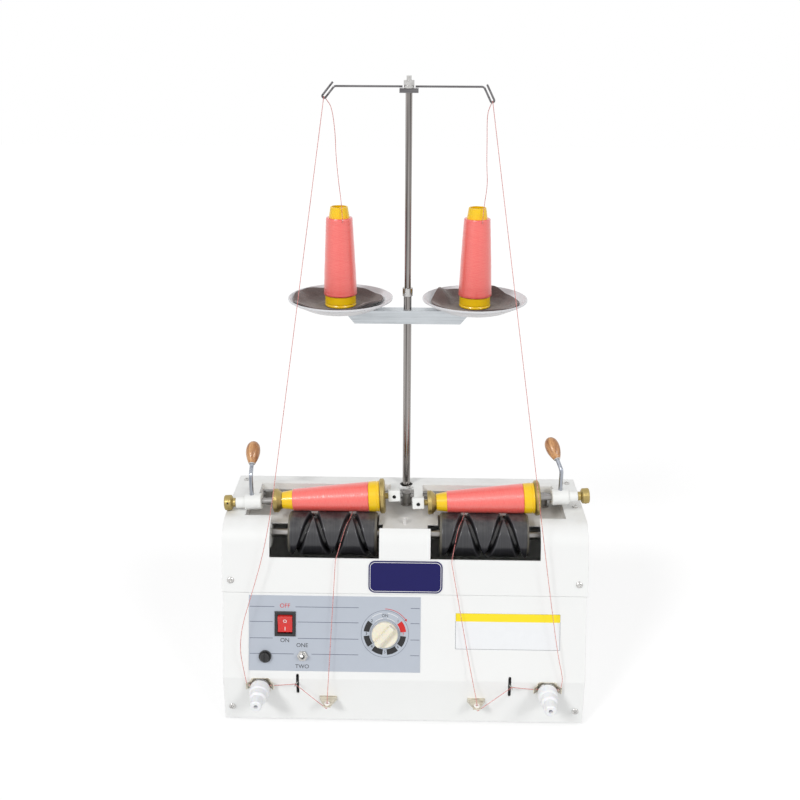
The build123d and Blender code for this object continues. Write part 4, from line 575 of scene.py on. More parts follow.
@dataclass(frozen=True)
class DrumLacquer(Finish):
    """Satin black drum skin with running marks, painted highlight along the groove shoulders and painted shade in the
    groove bottoms.
    """

    # Paler grey laid on the groove shoulders: painted highlight.
    shoulder_highlight: Colour = (86, 86, 90)
    marks: float = 0.22

    def dress(self, graph: Graph, shader: bpy.types.Node) -> None:
        """Running marks round the drum, with painted highlight on the groove shoulders and painted shade in the groove
        bottoms, from the mesh's masks.
        """
        coords = graph.coords()
        place = graph.effect(Effect.AXIS, Vector=coords, Origin=(0, 0, 0), Rotation=(0, 0, 0))
        normal = graph.node("ShaderNodeNewGeometry").outputs["Normal"]
        lines = graph.effect(Effect.LATHE, Along=place.outputs["Along"], Radius=place.outputs["Radius"], Scale=0.9,
                             Strength=self.marks, Normal=normal)
        mask = graph.node("ShaderNodeAttribute", attribute_name="shoulder").outputs["Fac"]
        groove_shade = graph.node("ShaderNodeAttribute", attribute_name="groove").outputs["Fac"]
        tone = graph.effect(Effect.TONE, Vector=coords, Color=srgb(self.colour), Drift=0.2, Scale=50.0)
        streak = graph.tint(graph.calc("MULTIPLY", graph.ramp(lines.outputs["Tone"], 0.45, 0.75), 0.35), tone.outputs["Color"], srgb((88, 88, 92)))
        # Groove shoulders lightened towards the paler grey, patchy with the tone: painted highlight.
        patchy = graph.calc("MULTIPLY", mask, graph.calc("MULTIPLY_ADD", tone.outputs["Value"], 0.8, 0.25))
        shoulder_highlight = graph.tint(patchy, streak, srgb(self.shoulder_highlight))
        rim = graph.node("ShaderNodeAttribute", attribute_name="rim").outputs["Fac"]
        bare = graph.tint(graph.calc("MULTIPLY", rim, 0.8), shoulder_highlight, srgb((112, 108, 98)))
        # Groove bottoms darkened nearly to black: painted shade.
        dark = graph.tint(graph.calc("MULTIPLY", groove_shade, 0.85), bare, srgb((10, 10, 12)))
        film = graph.effect(Effect.DUST, Vector=coords, Color=dark, Roughness=self.roughness, Amount=0.12)
        self.join(graph, shader, Base_Color=film.outputs["Color"], Roughness=film.outputs["Roughness"], Normal=lines.outputs["Normal"])
        shader.inputs["Coat Weight"].default_value = 0.3
        shader.inputs["Coat Roughness"].default_value = 0.2


@dataclass(frozen=True)
class WoundYarn(Finish):
    """Bright polyester yarn, cross-wound, with a silky glint, its colour painted lighter on the thread crests and
    darker in the valleys, and a denser line at each end.
    """

    valley: Colour = (238, 54, 50)
    crest_highlight: Colour = (255, 118, 104)
    end_line: Colour = (226, 34, 78)
    length: float = 95.2
    lead: float = 27.8

    def dress(self, graph: Graph, shader: bpy.types.Node) -> None:
        """Slanted threads in relief and glint, with painted highlight on the crests and painted shade in the valleys
        of the colour.
        """
        coords = graph.coords()
        place = graph.effect(Effect.AXIS, Vector=coords, Origin=(0, 0, 0), Rotation=(0, 0, 0))
        along = place.outputs["Along"]
        wound = graph.effect(Effect.WINDING, Along=along, Turn=place.outputs["Turn"], Lead=self.lead)
        tone = graph.effect(Effect.TONE, Vector=coords, Color=srgb(self.colour), Drift=0.03, Scale=60.0)
        # The lighter colour where the relief is high is painted highlight; the darker valley colour where it is low is
        # painted shade.
        share = graph.ramp(wound.outputs["Tone"], 0.3, 0.75)
        body = graph.tint(graph.calc("MULTIPLY", share, 0.9), graph.tint(0.55, tone.outputs["Color"], srgb(self.valley)), srgb(self.crest_highlight))
        low_end = graph.calc("SUBTRACT", 1.0, graph.ramp(along, 0.5, 1.2))
        high_end = graph.ramp(along, self.length - 1.2, self.length - 0.5)
        ends = graph.calc("MULTIPLY", graph.calc("ADD", low_end, high_end, clamp=True), 0.7)
        colour = graph.tint(ends, body, srgb(self.end_line))
        rough = graph.calc("MULTIPLY_ADD", wound.outputs["Glint"], -0.2, self.roughness)
        bump = graph.node("ShaderNodeBump", {"Strength": 0.3, "Distance": 0.0001, "Height": wound.outputs["Height"]})
        self.join(graph, shader, Base_Color=colour, Roughness=rough, Normal=bump.outputs[0])
        shader.inputs["Sheen Weight"].default_value = 0.15
        shader.inputs["Sheen Roughness"].default_value = 0.35
        shader.inputs["Sheen Tint"].default_value = srgb((255, 190, 180))
        shader.inputs["Specular IOR Level"].default_value = 1.0
        shader.inputs["Coat Weight"].default_value = 1.0
        shader.inputs["Coat Roughness"].default_value = 0.3
        shader.inputs["Coat IOR"].default_value = 1.7


@dataclass(frozen=True)
class SpunThread(Finish):
    """Single thread: fine twist bands in two tones."""

    second: Colour = (236, 168, 160)

    def dress(self, graph: Graph, shader: bpy.types.Node) -> None:
        """Twist bands."""
        coords = graph.coords()
        bands = graph.noise(coords, 900.0, 3.0, 0.6)
        share = graph.ramp(bands, 0.42, 0.6)
        colour = graph.tint(share, srgb(self.colour), srgb(self.second))
        bump = graph.node("ShaderNodeBump", {"Strength": 0.5, "Distance": 0.0002, "Height": bands})
        rough = graph.calc("MULTIPLY_ADD", bands, 0.2, self.roughness - 0.1)
        self.join(graph, shader, Base_Color=colour, Roughness=rough, Normal=bump.outputs[0])
        shader.inputs["Sheen Weight"].default_value = 0.3
        shader.inputs["Sheen Roughness"].default_value = 0.4


@dataclass(frozen=True)
class Felt(Finish):
    """Pressed felt."""

    fleck: Colour = (150, 134, 130)

    def dress(self, graph: Graph, shader: bpy.types.Node) -> None:
        """Fibre colour and relief."""
        fibre = graph.effect(Effect.FIBRE, Vector=graph.coords(), Color=srgb(self.colour), Fleck=srgb(self.fleck), Scale=650.0)
        bump = graph.node("ShaderNodeBump", {"Strength": 0.7, "Distance": 0.0006, "Height": fibre.outputs["Height"]})
        rough = graph.calc("MULTIPLY_ADD", fibre.outputs["Height"], 0.1, self.roughness - 0.1, clamp=True)
        self.join(graph, shader, Base_Color=fibre.outputs["Color"], Roughness=rough, Normal=bump.outputs[0])
        shader.inputs["Sheen Weight"].default_value = 0.5
        shader.inputs["Sheen Roughness"].default_value = 0.5
        shader.inputs["Specular IOR Level"].default_value = 0.15


@dataclass(frozen=True)
class VarnishedWood(Finish):
    """Turned and varnished handle wood."""

    dark: Colour = (150, 92, 46)

    def dress(self, graph: Graph, shader: bpy.types.Node) -> None:
        """Grain under a thin varnish."""
        grain = graph.effect(Effect.GRAIN, Vector=graph.coords(), Light=srgb(self.colour), Dark=srgb(self.dark), Scale=240.0)
        bump = graph.node("ShaderNodeBump", {"Strength": 0.25, "Distance": 0.0003, "Height": grain.outputs["Height"]})
        rough = graph.calc("MULTIPLY_ADD", grain.outputs["Height"], 0.15, self.roughness)
        self.join(graph, shader, Base_Color=grain.outputs["Color"], Roughness=rough, Normal=bump.outputs[0])
        shader.inputs["Coat Weight"].default_value = 0.5
        shader.inputs["Coat Roughness"].default_value = 0.15


@dataclass(frozen=True)
class Printed(Finish):
    """Printed ink, a plate or a label: nearly even, with a slightly broken tone."""

    drift: float = 0.02
    gloss: float = 0.0
    shine: float = 0.5

    def dress(self, graph: Graph, shader: bpy.types.Node) -> None:
        """Broken tone and fine relief."""
        coords = graph.coords()
        tone = graph.effect(Effect.TONE, Vector=coords, Color=srgb(self.colour), Drift=self.drift, Scale=90.0)
        normal = graph.node("ShaderNodeNewGeometry").outputs["Normal"]
        peel = graph.effect(Effect.PEEL, Vector=coords, Scale=1800.0, Strength=0.05, Normal=normal)
        rough = graph.calc("MULTIPLY_ADD", tone.outputs["Value"], 0.12, self.roughness - 0.06)
        self.join(graph, shader, Base_Color=tone.outputs["Color"], Roughness=rough, Normal=peel.outputs["Normal"])
        shader.inputs["Specular IOR Level"].default_value = self.shine
        if self.gloss:
            shader.inputs["Coat Weight"].default_value = self.gloss
            shader.inputs["Coat Roughness"].default_value = 0.12


CONE_TAPER = math.atan(5.3 / 95.4)


def cone_frame(head: int) -> Matrix:
    """Frame of a wound cone: origin at the yarn's small end, z to its large end.

    Args:
        head: 0 for the left head, 1 for the right one.

    Returns:
        The frame as a matrix.
    """
    sin, cos = math.sin(NIP_LEAN), math.cos(NIP_LEAN)
    away = DRUM_RADIUS + 0.3 + 13.5 * math.cos(CONE_TAPER)
    origin = ((-141.2, 51.8)[head], DRUM_Y + away * sin, DRUM_Z + away * cos)
    rise = math.sin(CONE_TAPER)
    return placed(origin, (0, cos, -sin), (math.cos(CONE_TAPER), rise * sin, rise * cos))


def supply_frame(head: int) -> Matrix:
    """Frame of a supply cone, its small end up, z down."""
    return placed(((-83.5, 83.5)[head], POLE_Y, 605.7), (1, 0, 0), (0, 0, -1))


def held(matrix: Matrix) -> tuple:
    """A matrix as plain numbers, so that a finish can hold it."""
    return tuple(tuple(row) for row in matrix)


CASE_WHITE = Painted("satin_white_case", (240, 241, 240), 0.42)
# Darker copy of the case's white for the recessed deck: painted shade; its heavier dust film also darkens it.
DECK_WHITE_PAINTED_SHADE = Painted("satin_white_deck_painted_shade", (226, 225, 223), 0.45, dust=0.3)
CASTING = Painted("painted_casting", (240, 241, 239), 0.5, peel=0.35, drift=0.02, wear=0.35, worn=(170, 168, 165), edge=0.8)
TRAY_GREY = Painted("spun_tray_paint", (222, 223, 226), 0.35, wear=0.5, worn=(120, 118, 116), dust=0.1)
BAR_ZINC = DrawnMetal("galvanised_bar", (205, 210, 214), 0.38, stretch=(10.0, 400.0, 400.0), depth=(150, 156, 160), streak=0.4)
PANEL_BLUE = Printed("panel_plate_grey_blue", (183, 190, 201), 0.4, gloss=0.2)
STEEL = DrawnMetal("ground_steel", (168, 166, 164), 0.3, stretch=(8.0, 900.0, 900.0), depth=(66, 64, 62))
POST_STEEL = DrawnMetal("turned_post_steel", (160, 158, 156), 0.34, depth=(80, 78, 76))
POLE_CHROME = DrawnMetal("plated_pole", (168, 163, 160), 0.2, stretch=(420.0, 420.0, 2.0), depth=(34, 28, 27), streak=0.95)
BRIGHT = DrawnMetal("bright_plate", (206, 205, 203), 0.22, stretch=(300.0, 300.0, 300.0), depth=(120, 118, 116), streak=0.35)
ARM_WIRE = DrawnMetal("arm_wire_plate", (128, 126, 128), 0.25, stretch=(12.0, 700.0, 700.0), depth=(36, 33, 34), streak=0.9)
LEVER_STEEL = DrawnMetal("lever_plate", (176, 180, 188), 0.28, stretch=(600.0, 600.0, 12.0), depth=(72, 80, 94), streak=0.7)
DISC_STEEL = DrawnMetal("tension_disc_polish", (196, 194, 192), 0.24, stretch=(400.0, 400.0, 400.0), depth=(110, 106, 102), streak=0.4)
BRACKET_ZINC = DrawnMetal("cream_zinc_plate", (226, 220, 204), 0.36, stretch=(80.0, 300.0, 300.0), depth=(120, 100, 78), streak=0.6)
RED_YARN = WoundYarn("wound_red_yarn", (255, 84, 76), 0.36)
RED_THREAD = SpunThread("pale_red_thread", (190, 92, 92), 0.55)
YELLOW = Moulded("cone_yellow_plastic", (252, 206, 6), 0.3, soft=0.15, coat=0.2)
BLACK = Moulded("switch_black_plastic", (22, 22, 24), 0.32, coat=0.3)
ROCKER_RED = Moulded("rocker_red_plastic", (214, 18, 12), 0.22, soft=0.1, coat=0.6)
IVORY = Moulded("knob_ivory_plastic", (238, 232, 214), 0.34, soft=0.2, coat=0.15)
NUT_WHITE = Moulded("tension_nut_white", (240, 241, 243), 0.38, soft=0.1)
GLAZE = Moulded("bead_glaze", (246, 242, 236), 0.12, skin=0.02, coat=1.0)
RUBBER = Moulded("foot_rubber", (30, 30, 31), 0.75, skin=0.4)
BOARD = Moulded("circuit_board", (34, 92, 52), 0.5)
FELT = Felt("tray_felt", (92, 78, 75), 0.95)
WOOD = VarnishedWood("handle_wood", (214, 160, 104), 0.35)
DRUM_BLACK = DrumLacquer("drum_lacquer", (38, 38, 42), 0.34)
DRUM_END = TurnedMetal("drum_end_alloy", (176, 168, 152), 0.42, tarnish=(120, 110, 96))
INK_BLACK = Printed("ink_black", (26, 26, 28), 0.5)
INK_RED = Printed("ink_red", (206, 34, 30), 0.5)
INK_WHITE = Printed("ink_white", (240, 240, 240), 0.45)
INK_LINE = Printed("ink_grey_line", (112, 118, 134), 0.5)
NAVY = Printed("name_plate_navy", (24, 22, 88), 0.35, drift=0.05, shine=0.25)
LABEL_WHITE = Printed("label_white", (238, 240, 242), 0.35, gloss=0.3)
LABEL_YELLOW = Printed("label_yellow", (250, 226, 14), 0.35, gloss=0.3)
# Near-black for socket holes: painted shade of their hollows.
HOLE_SHADE_BLACK = Printed("painted_hole_shade", (12, 12, 12), 0.8)


def brass_on(matrix: Matrix, name: str) -> TurnedMetal:
    """Brass turned about a given axis."""
    return TurnedMetal(name, (180, 160, 104), 0.36, axis=held(matrix), tarnish=(104, 88, 44), stain=0.55, marks=0.4)


# ------------------------------------------------------------------ mesh building


class Workshop:
    """Makes pieces from outlines and grids, dresses them and lets them ride."""

    @staticmethod
    def piece(name: str, points: np.ndarray, faces: Sequence, finish: Finish, body: str,
              matrix: Matrix | None = None, rounded: bool = True) -> bpy.types.Object:
        """Makes a mesh piece.

        Args:
            name: The piece's name.
            points: Its points in millimetres, local to matrix.
            faces: Index lists.
            finish: Its finish.
            body: The CAD body that it rides on.
            matrix: Its place.
            rounded: Whether it is shaded smooth.

        Returns:
            The object.
        """
        mesh = bpy.data.meshes.new(name)
        mesh.from_pydata((np.asarray(points, float) * MM).tolist(), [], [list(f) for f in faces])
        mesh.validate()
        mesh.polygons.foreach_set("use_smooth", [rounded] * len(mesh.polygons))
        if rounded:
            mesh.set_sharp_from_angle(angle=math.radians(38))
        made = bpy.data.objects.new(name, mesh)
        bpy.context.scene.collection.objects.link(made)
        made.matrix_world = matrix or Matrix.Identity(4)
        mesh.materials.append(finish.material())
        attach(made, body)
        return made

    @staticmethod
    def grid_faces(rows: int, columns: int, closed: bool) -> list[tuple[int, int, int, int]]:
        """Quads of a grid of points, row by row.

        Args:
            rows: Number of rows.
            columns: Number of points in a row.
            closed: Whether each row meets its own start.

        Returns:
            Index lists.
        """
        quads = []
        last = columns if closed else columns - 1
        for row in range(rows - 1):
            for column in range(last):
                after = (column + 1) % columns
                low, high = row * columns, (row + 1) * columns
                quads.append((low + column, low + after, high + after, high + column))
        return quads

    @classmethod
    def lathe(cls, name: str, outline: Sequence[tuple[float, float]], finish: Finish, body: str, matrix: Matrix,
              segments: int = 64, wobble: Callable | None = None) -> bpy.types.Object:
        """Makes a piece of revolution about its local z axis.

        Args:
            name: The piece's name.
            outline: (height, radius) points from one end to the other.
            finish: Its finish.
            body: The CAD body that it rides on.
            matrix: Its place.
            segments: Points round it.
            wobble: Takes heights and angles and gives an addition to the radius.

        Returns:
            The object.
        """
        heights = np.array([h for h, _ in outline], float)[:, None]
        radii = np.array([r for _, r in outline], float)[:, None]
        turn = np.linspace(0, 2 * math.pi, segments, endpoint=False)[None, :]
        spread = radii + (wobble(heights, turn) if wobble else np.zeros((1, segments)))
        points = np.stack([spread * np.cos(turn), spread * np.sin(turn), heights + 0 * spread], -1)
        faces: list = cls.grid_faces(len(outline), segments, True)
        return cls.piece(name, points.reshape(-1, 3), faces, finish, body, matrix)

    @classmethod
    def plate(cls, name: str, width: float, height: float, corner: float, thick: float, finish: Finish, body: str,
              matrix: Matrix, hole: float = 0.0) -> bpy.types.Object:
        """Makes a thin plate with rounded corners, or a thin frame of a given width.

        Args:
            name: The piece's name.
            width: Size along local x.
            height: Size along local y.
            corner: Corner radius.
            thick: Thickness along local z, from 0.
            finish: Its finish.
            body: The CAD body that it rides on.
            matrix: Its centre.
            hole: Width of the frame's border, or 0 for a full plate.

        Returns:
            The object.
        """
        def loop(inset: float) -> list[tuple[float, float]]:
            """Rounded rectangle, inset from the edge."""
            radius = max(corner - inset, 0.05)
            across, up = width / 2 - inset - radius, height / 2 - inset - radius
            spots = []
            for index, (sx, sy) in enumerate(((1, 1), (-1, 1), (-1, -1), (1, -1))):
                for step in range(9):
                    angle = math.radians(90 * index + step * 11.25)
                    spots.append((sx * across + radius * math.cos(angle), sy * up + radius * math.sin(angle)))
            return spots

        edge = min(0.3, thick / 2)
        rings = [(loop(0), 0.0), (loop(0), thick - edge), (loop(edge * 0.6), thick)]
        if hole:
            rings += [(loop(hole), thick), (loop(hole), 0.0)]
        points = [(x, y, z) for ring, z in rings for x, y in ring]
        count = len(rings[0][0])
        faces: list = cls.grid_faces(len(rings), count, True)
        if not hole:
            faces.append(tuple(range((len(rings) - 1) * count, len(rings) * count)))
        return cls.piece(name, np.array(points), faces, finish, body, matrix)

    @classmethod
    def arc_strip(cls, name: str, inner: float, outer: float, start: float, end: float, finish: Finish, body: str,
                  matrix: Matrix, thick: float = 0.05) -> bpy.types.Object:
        """Makes a flat printed ring sector.

        Args:
            name: The piece's name.
            inner: Inner radius.
            outer: Outer radius.
            start: First angle in degrees.
            end: Last angle in degrees.
            finish: Its finish.
            body: The CAD body that it rides on.
            matrix: Its centre.
            thick: Thickness along local z.

        Returns:
            The object.
        """
        whole = abs(end - start) >= 360
        steps = max(6, int(abs(end - start) / 3))
        angles = np.radians(np.linspace(start, end, steps + 1)[: steps if whole else steps + 1])
        rings = [(inner, 0.0), (inner, thick), (outer, thick), (outer, 0.0)]
        points = [(r * math.cos(a), r * math.sin(a), z) for r, z in rings for a in angles]
        faces = cls.grid_faces(4, len(angles), whole)
        return cls.piece(name, np.array(points), faces, finish, body, matrix, rounded=False)

    @staticmethod
    def text(name: str, words: str, size: float, finish: Finish, body: str, matrix: Matrix) -> bpy.types.Object:
        """Makes flat printed words, centred on a frame.

        Args:
            name: The piece's name.
            words: What it says.
            size: Letter size in millimetres.
            finish: Its finish.
            body: The CAD body that it rides on.
            matrix: Its place.

        Returns:
            The object.
        """
        curve = bpy.data.curves.new(name, "FONT")
        curve.body = words
        curve.size = size * MM
        curve.align_x = "CENTER"
        curve.align_y = "CENTER"
        curve.extrude = 0.00003
        curve.materials.append(finish.material())
        made = bpy.data.objects.new(name, curve)
        bpy.context.scene.collection.objects.link(made)
        made.matrix_world = matrix
        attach(made, body)
        return made

    @staticmethod
    def curve(name: str, points: Sequence[Point], radius: float, finish: Finish, body: str) -> bpy.types.Object:
        """Makes a round run on one open NURBS spline.

        Args:
            name: The piece's name.
            points: Control points in metres.
            radius: Radius in metres.
            finish: Its finish.
            body: The CAD body that it rides on.

        Returns:
            The object.
        """
        data = bpy.data.curves.new(name, "CURVE")
        data.dimensions = "3D"
        data.bevel_depth = radius
        data.bevel_resolution = 3
        data.use_fill_caps = True
        data.resolution_u = 12
        spline = data.splines.new("NURBS")
        spline.points.add(len(points) - 1)
        for spot, place in zip(spline.points, points):
            spot.co = (*place, 1.0)
        spline.order_u = 3
        spline.use_endpoint_u = True
        data.materials.append(finish.material())
        made = bpy.data.objects.new(name, data)
        bpy.context.scene.collection.objects.link(made)
        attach(made, body)
        return made


# ------------------------------------------------------------------ camera, light and floor


@dataclass
class Studio:
    """Camera at the photograph's angle, soft daylight and a pale floor."""

    eye: Point = (12.6, -1132.8, 828.7)
    pitch: float = 20.78
    yaw: float = -1.02
    roll: float = -0.25
    lens: float = 45.0
    ambient: float = 0.5

    def camera(self) -> None:
        """Sets the scene's camera."""
        pitch, yaw, roll = (math.radians(a) for a in (self.pitch, self.yaw, self.roll))
        ahead = Vector((math.sin(yaw) * math.cos(pitch), math.cos(yaw) * math.cos(pitch), -math.sin(pitch)))
        right = Vector((math.cos(yaw), -math.sin(yaw), 0))
        down = ahead.cross(right)
        across = right * math.cos(roll) + down * math.sin(roll)
        below = down * math.cos(roll) - right * math.sin(roll)
        data = bpy.data.cameras.new("camera")
        data.lens = self.lens
        data.sensor_width = 36.0
        data.clip_start, data.clip_end = 0.05, 50.0
        made = bpy.data.objects.new("camera", data)
        bpy.context.scene.collection.objects.link(made)
        turn = Matrix((across, -below, -ahead)).transposed().to_4x4()
        made.matrix_world = Matrix.Translation(Vector(self.eye) * MM) @ turn
        bpy.context.scene.camera = made

    def sun(self, name: str, direction: Point, strength: float, angle: float) -> None:
        """Adds a soft sun.

        Args:
            name: Its name.
            direction: From the object towards the sun.
            strength: Power per square metre.
            angle: Its apparent size in degrees.
        """
        data = bpy.data.lights.new(name, "SUN")
        data.energy = strength
        data.angle = math.radians(angle)
        made = bpy.data.objects.new(name, data)
        bpy.context.scene.collection.objects.link(made)
        made.rotation_euler = Vector(direction).to_track_quat("Z", "Y").to_euler()

    def daylight(self) -> None:
        """Adds the suns and the white surroundings."""
        self.sun("key", (-0.5, -0.64, 0.6), 1.2, 13)
        self.sun("fill", (0.55, -0.6, 0.58), 0.8, 17)
        world = bpy.data.worlds.new("surroundings")
        bpy.context.scene.world = world
        world.use_nodes = True
        world.node_tree.nodes.clear()
        graph = Graph(world.node_tree)
        share = self.seen(graph)
        plain = graph.node("ShaderNodeBackground", {"Color": (1, 1, 1, 1), "Strength": self.ambient})
        white = graph.node("ShaderNodeBackground", {"Color": (1, 1, 1, 1), "Strength": 1.0})
        mixed = graph.node("ShaderNodeMixShader", {0: share, 1: plain.outputs[0], 2: white.outputs[0]})
        graph.node("ShaderNodeOutputWorld", {"Surface": mixed.outputs[0]})

    @staticmethod
    def seen(graph: Graph) -> bpy.types.NodeSocket:
        """Share that is 1 for camera, glossy and transmission rays."""
        path = graph.node("ShaderNodeLightPath").outputs
        first = graph.calc("MAXIMUM", path["Is Camera Ray"], path["Is Glossy Ray"])
        return graph.calc("MAXIMUM", first, path["Is Transmission Ray"])

    def floor(self) -> None:
        """Adds the pale floor, white to the camera and still shaded by the object."""
        half = 6000.0
        mesh = bpy.data.meshes.new("floor")
        corners = [(x * MM, y * MM, 0.0) for x, y in ((-half, -half), (half, -half), (half, half), (-half, half))]
        mesh.from_pydata(corners, [], [(0, 1, 2, 3)])
        made = bpy.data.objects.new("floor", mesh)
        bpy.context.scene.collection.objects.link(made)
        material = bpy.data.materials.new("floor_paper")
        material.use_nodes = True
        material.node_tree.nodes.clear()
        graph = Graph(material.node_tree)
        plain = graph.node("ShaderNodeBsdfDiffuse", {"Color": (0.75, 0.75, 0.75, 1)})
        shaded = graph.node("ShaderNodeBsdfDiffuse", {"Color": (0.4, 0.4, 0.4, 1)})
        glow = graph.node("ShaderNodeEmission", {"Color": (1, 1, 1, 1), "Strength": 0.68})
        bright = graph.node("ShaderNodeAddShader", {0: shaded.outputs[0], 1: glow.outputs[0]})
        mixed = graph.node("ShaderNodeMixShader", {0: self.seen(graph), 1: plain.outputs[0], 2: bright.outputs[0]})
        graph.node("ShaderNodeOutputMaterial", {"Surface": mixed.outputs[0]})
        mesh.materials.append(material)

    def build(self) -> None:
        """Sets camera, light, floor and view."""
        self.camera()
        self.daylight()
        self.floor()
        bpy.context.scene.view_settings.view_transform = "Standard"


# ------------------------------------------------------------------ threads


@dataclass
class ThreadPath:
    """One free thread from its supply cone to its drum, and its last length in the drum's groove."""

    side: str
    length: float
    points: list[Point]
    drum_centre: float
    groove_turns: float
    diameter: float = 0.8
    touch_angle: float = 242.75
    nip_angle: float = 180.0
    floor_radius: float = 20.9
    inside: float = 0.9

    def build(self) -> None:
        """Makes the free run and the length in the groove."""
        metres = [tuple(v * MM for v in p) for p in self.points]
        run = Workshop.curve("thread_" + self.side + "_run", metres, self.diameter / 2 * MM, RED_THREAD, "machine")
        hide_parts("thread_" + self.side)
        self.groove_run(self.points[-1])

    def groove_run(self, start: Point) -> None:
        """Makes the length that lies in the drum's groove up to the cone, all within the drum's sweep.

        Args:
            start: Where the free run ends.
        """
        matrix = drum_frame(self.drum_centre)
        spots = []
        steps = 9
        for step in range(steps + 1):
            share = step / steps
            angle = math.radians(self.touch_angle + (self.nip_angle - self.touch_angle) * share)
            along = -48 + 48 * (self.groove_turns - angle / (2 * math.pi))
            radius = self.floor_radius + (DRUM_RADIUS - self.floor_radius - 0.2) * max(0.0, share - 0.6) / 0.4
            spots.append(matrix @ (Vector((radius * math.cos(angle), radius * math.sin(angle), along)) * MM))
        spots.insert(0, spots[0].lerp(Vector(start) * MM, self.inside))
        name = "thread_" + self.side + "_in_groove"
        made = Workshop.curve(name, [tuple(s) for s in spots], self.diameter / 2 * MM, RED_THREAD, "drums")


def drum_frame(centre: float) -> Matrix:
    """Frame of a drum: z along the shaft, x towards the grooves' crossing at the lower front."""
    return placed((centre, DRUM_Y, DRUM_Z), (0, -math.sin(NIP_LEAN), -math.cos(NIP_LEAN)), (1, 0, 0))


LEFT_ROUTE: list[Point] = [
    (-78.3, 59.4, 602.0), (-79.2, 63.0, 622.0), (-83.2, 72.5, 648.0), (-86.3, 77.5, 679.0),
    (-86.8, 79.8, 706.0), (-90.4, 80.6, 734.0), (-96.16, 78.56, 742.19), (-98.86, 77.6, 746.04),
    (-98.86, 74.4, 746.04), (-99.47, 73.16, 741.44), (-154.2, -37.7, 331.7), (-161.5, -52.5, 277.0),
    (-171.5, -68.0, 223.0), (-186.0, -81.5, 174.0), (-197.8, -93.5, 136.0), (-200.4, -101.5, 107.0),
    (-196.4, -104.4, 80.0), (-194.36, -103.62, 62.76), (-193.8, -103.4, 58.0), (-189.0, -103.4, 58.0),
    (-166.0, -103.4, 58.0), (-161.2, -103.4, 58.0), (-156.6, -104.25, 59.04), (-137.61, -107.75, 63.34),
    (-133.0, -108.6, 64.8), (-129.25, -109.4, 61.49), (-97.25, -116.2, 36.89), (-93.5, -117.0, 34.0),
    (-93.5, -117.0, 46.5), (-93.26, -115.45, 51.04), (-84.94, -62.15, 206.66), (-84.7, -60.6, 211.2),
    (-79.2, -45.17, 226.77),
]

RIGHT_ROUTE: list[Point] = [
    (88.7, 59.4, 602.0), (90.2, 63.0, 622.0), (94.4, 72.5, 646.0), (92.8, 77.6, 668.0),
    (92.4, 79.8, 697.0), (91.4, 80.4, 727.0), (95.3, 78.43, 737.51), (96.95, 77.6, 741.94),
    (96.95, 74.4, 741.94), (97.6, 73.15, 737.35), (167.4, -61.3, 244.9), (177.4, -80.5, 174.5),
    (188.4, -99.0, 104.0), (195.4, -104.4, 76.0), (194.22, -103.67, 62.77), (193.8, -103.4, 58.0),
    (189.0, -103.4, 58.0), (166.0, -103.4, 58.0), (161.2, -103.4, 58.0), (156.6, -104.25, 59.04),
    (137.61, -107.75, 63.34), (133.0, -108.6, 64.8), (129.14, -109.36, 61.62), (94.36, -116.24, 36.76),
    (90.5, -117.0, 34.0), (90.5, -117.0, 46.5), (89.53, -115.32, 50.89), (80.4, -99.6, 92.0),
    (58.07, -62.07, 206.72), (57.2, -60.6, 211.2), (61.7, -45.17, 226.77),
]


# ------------------------------------------------------------------ drums


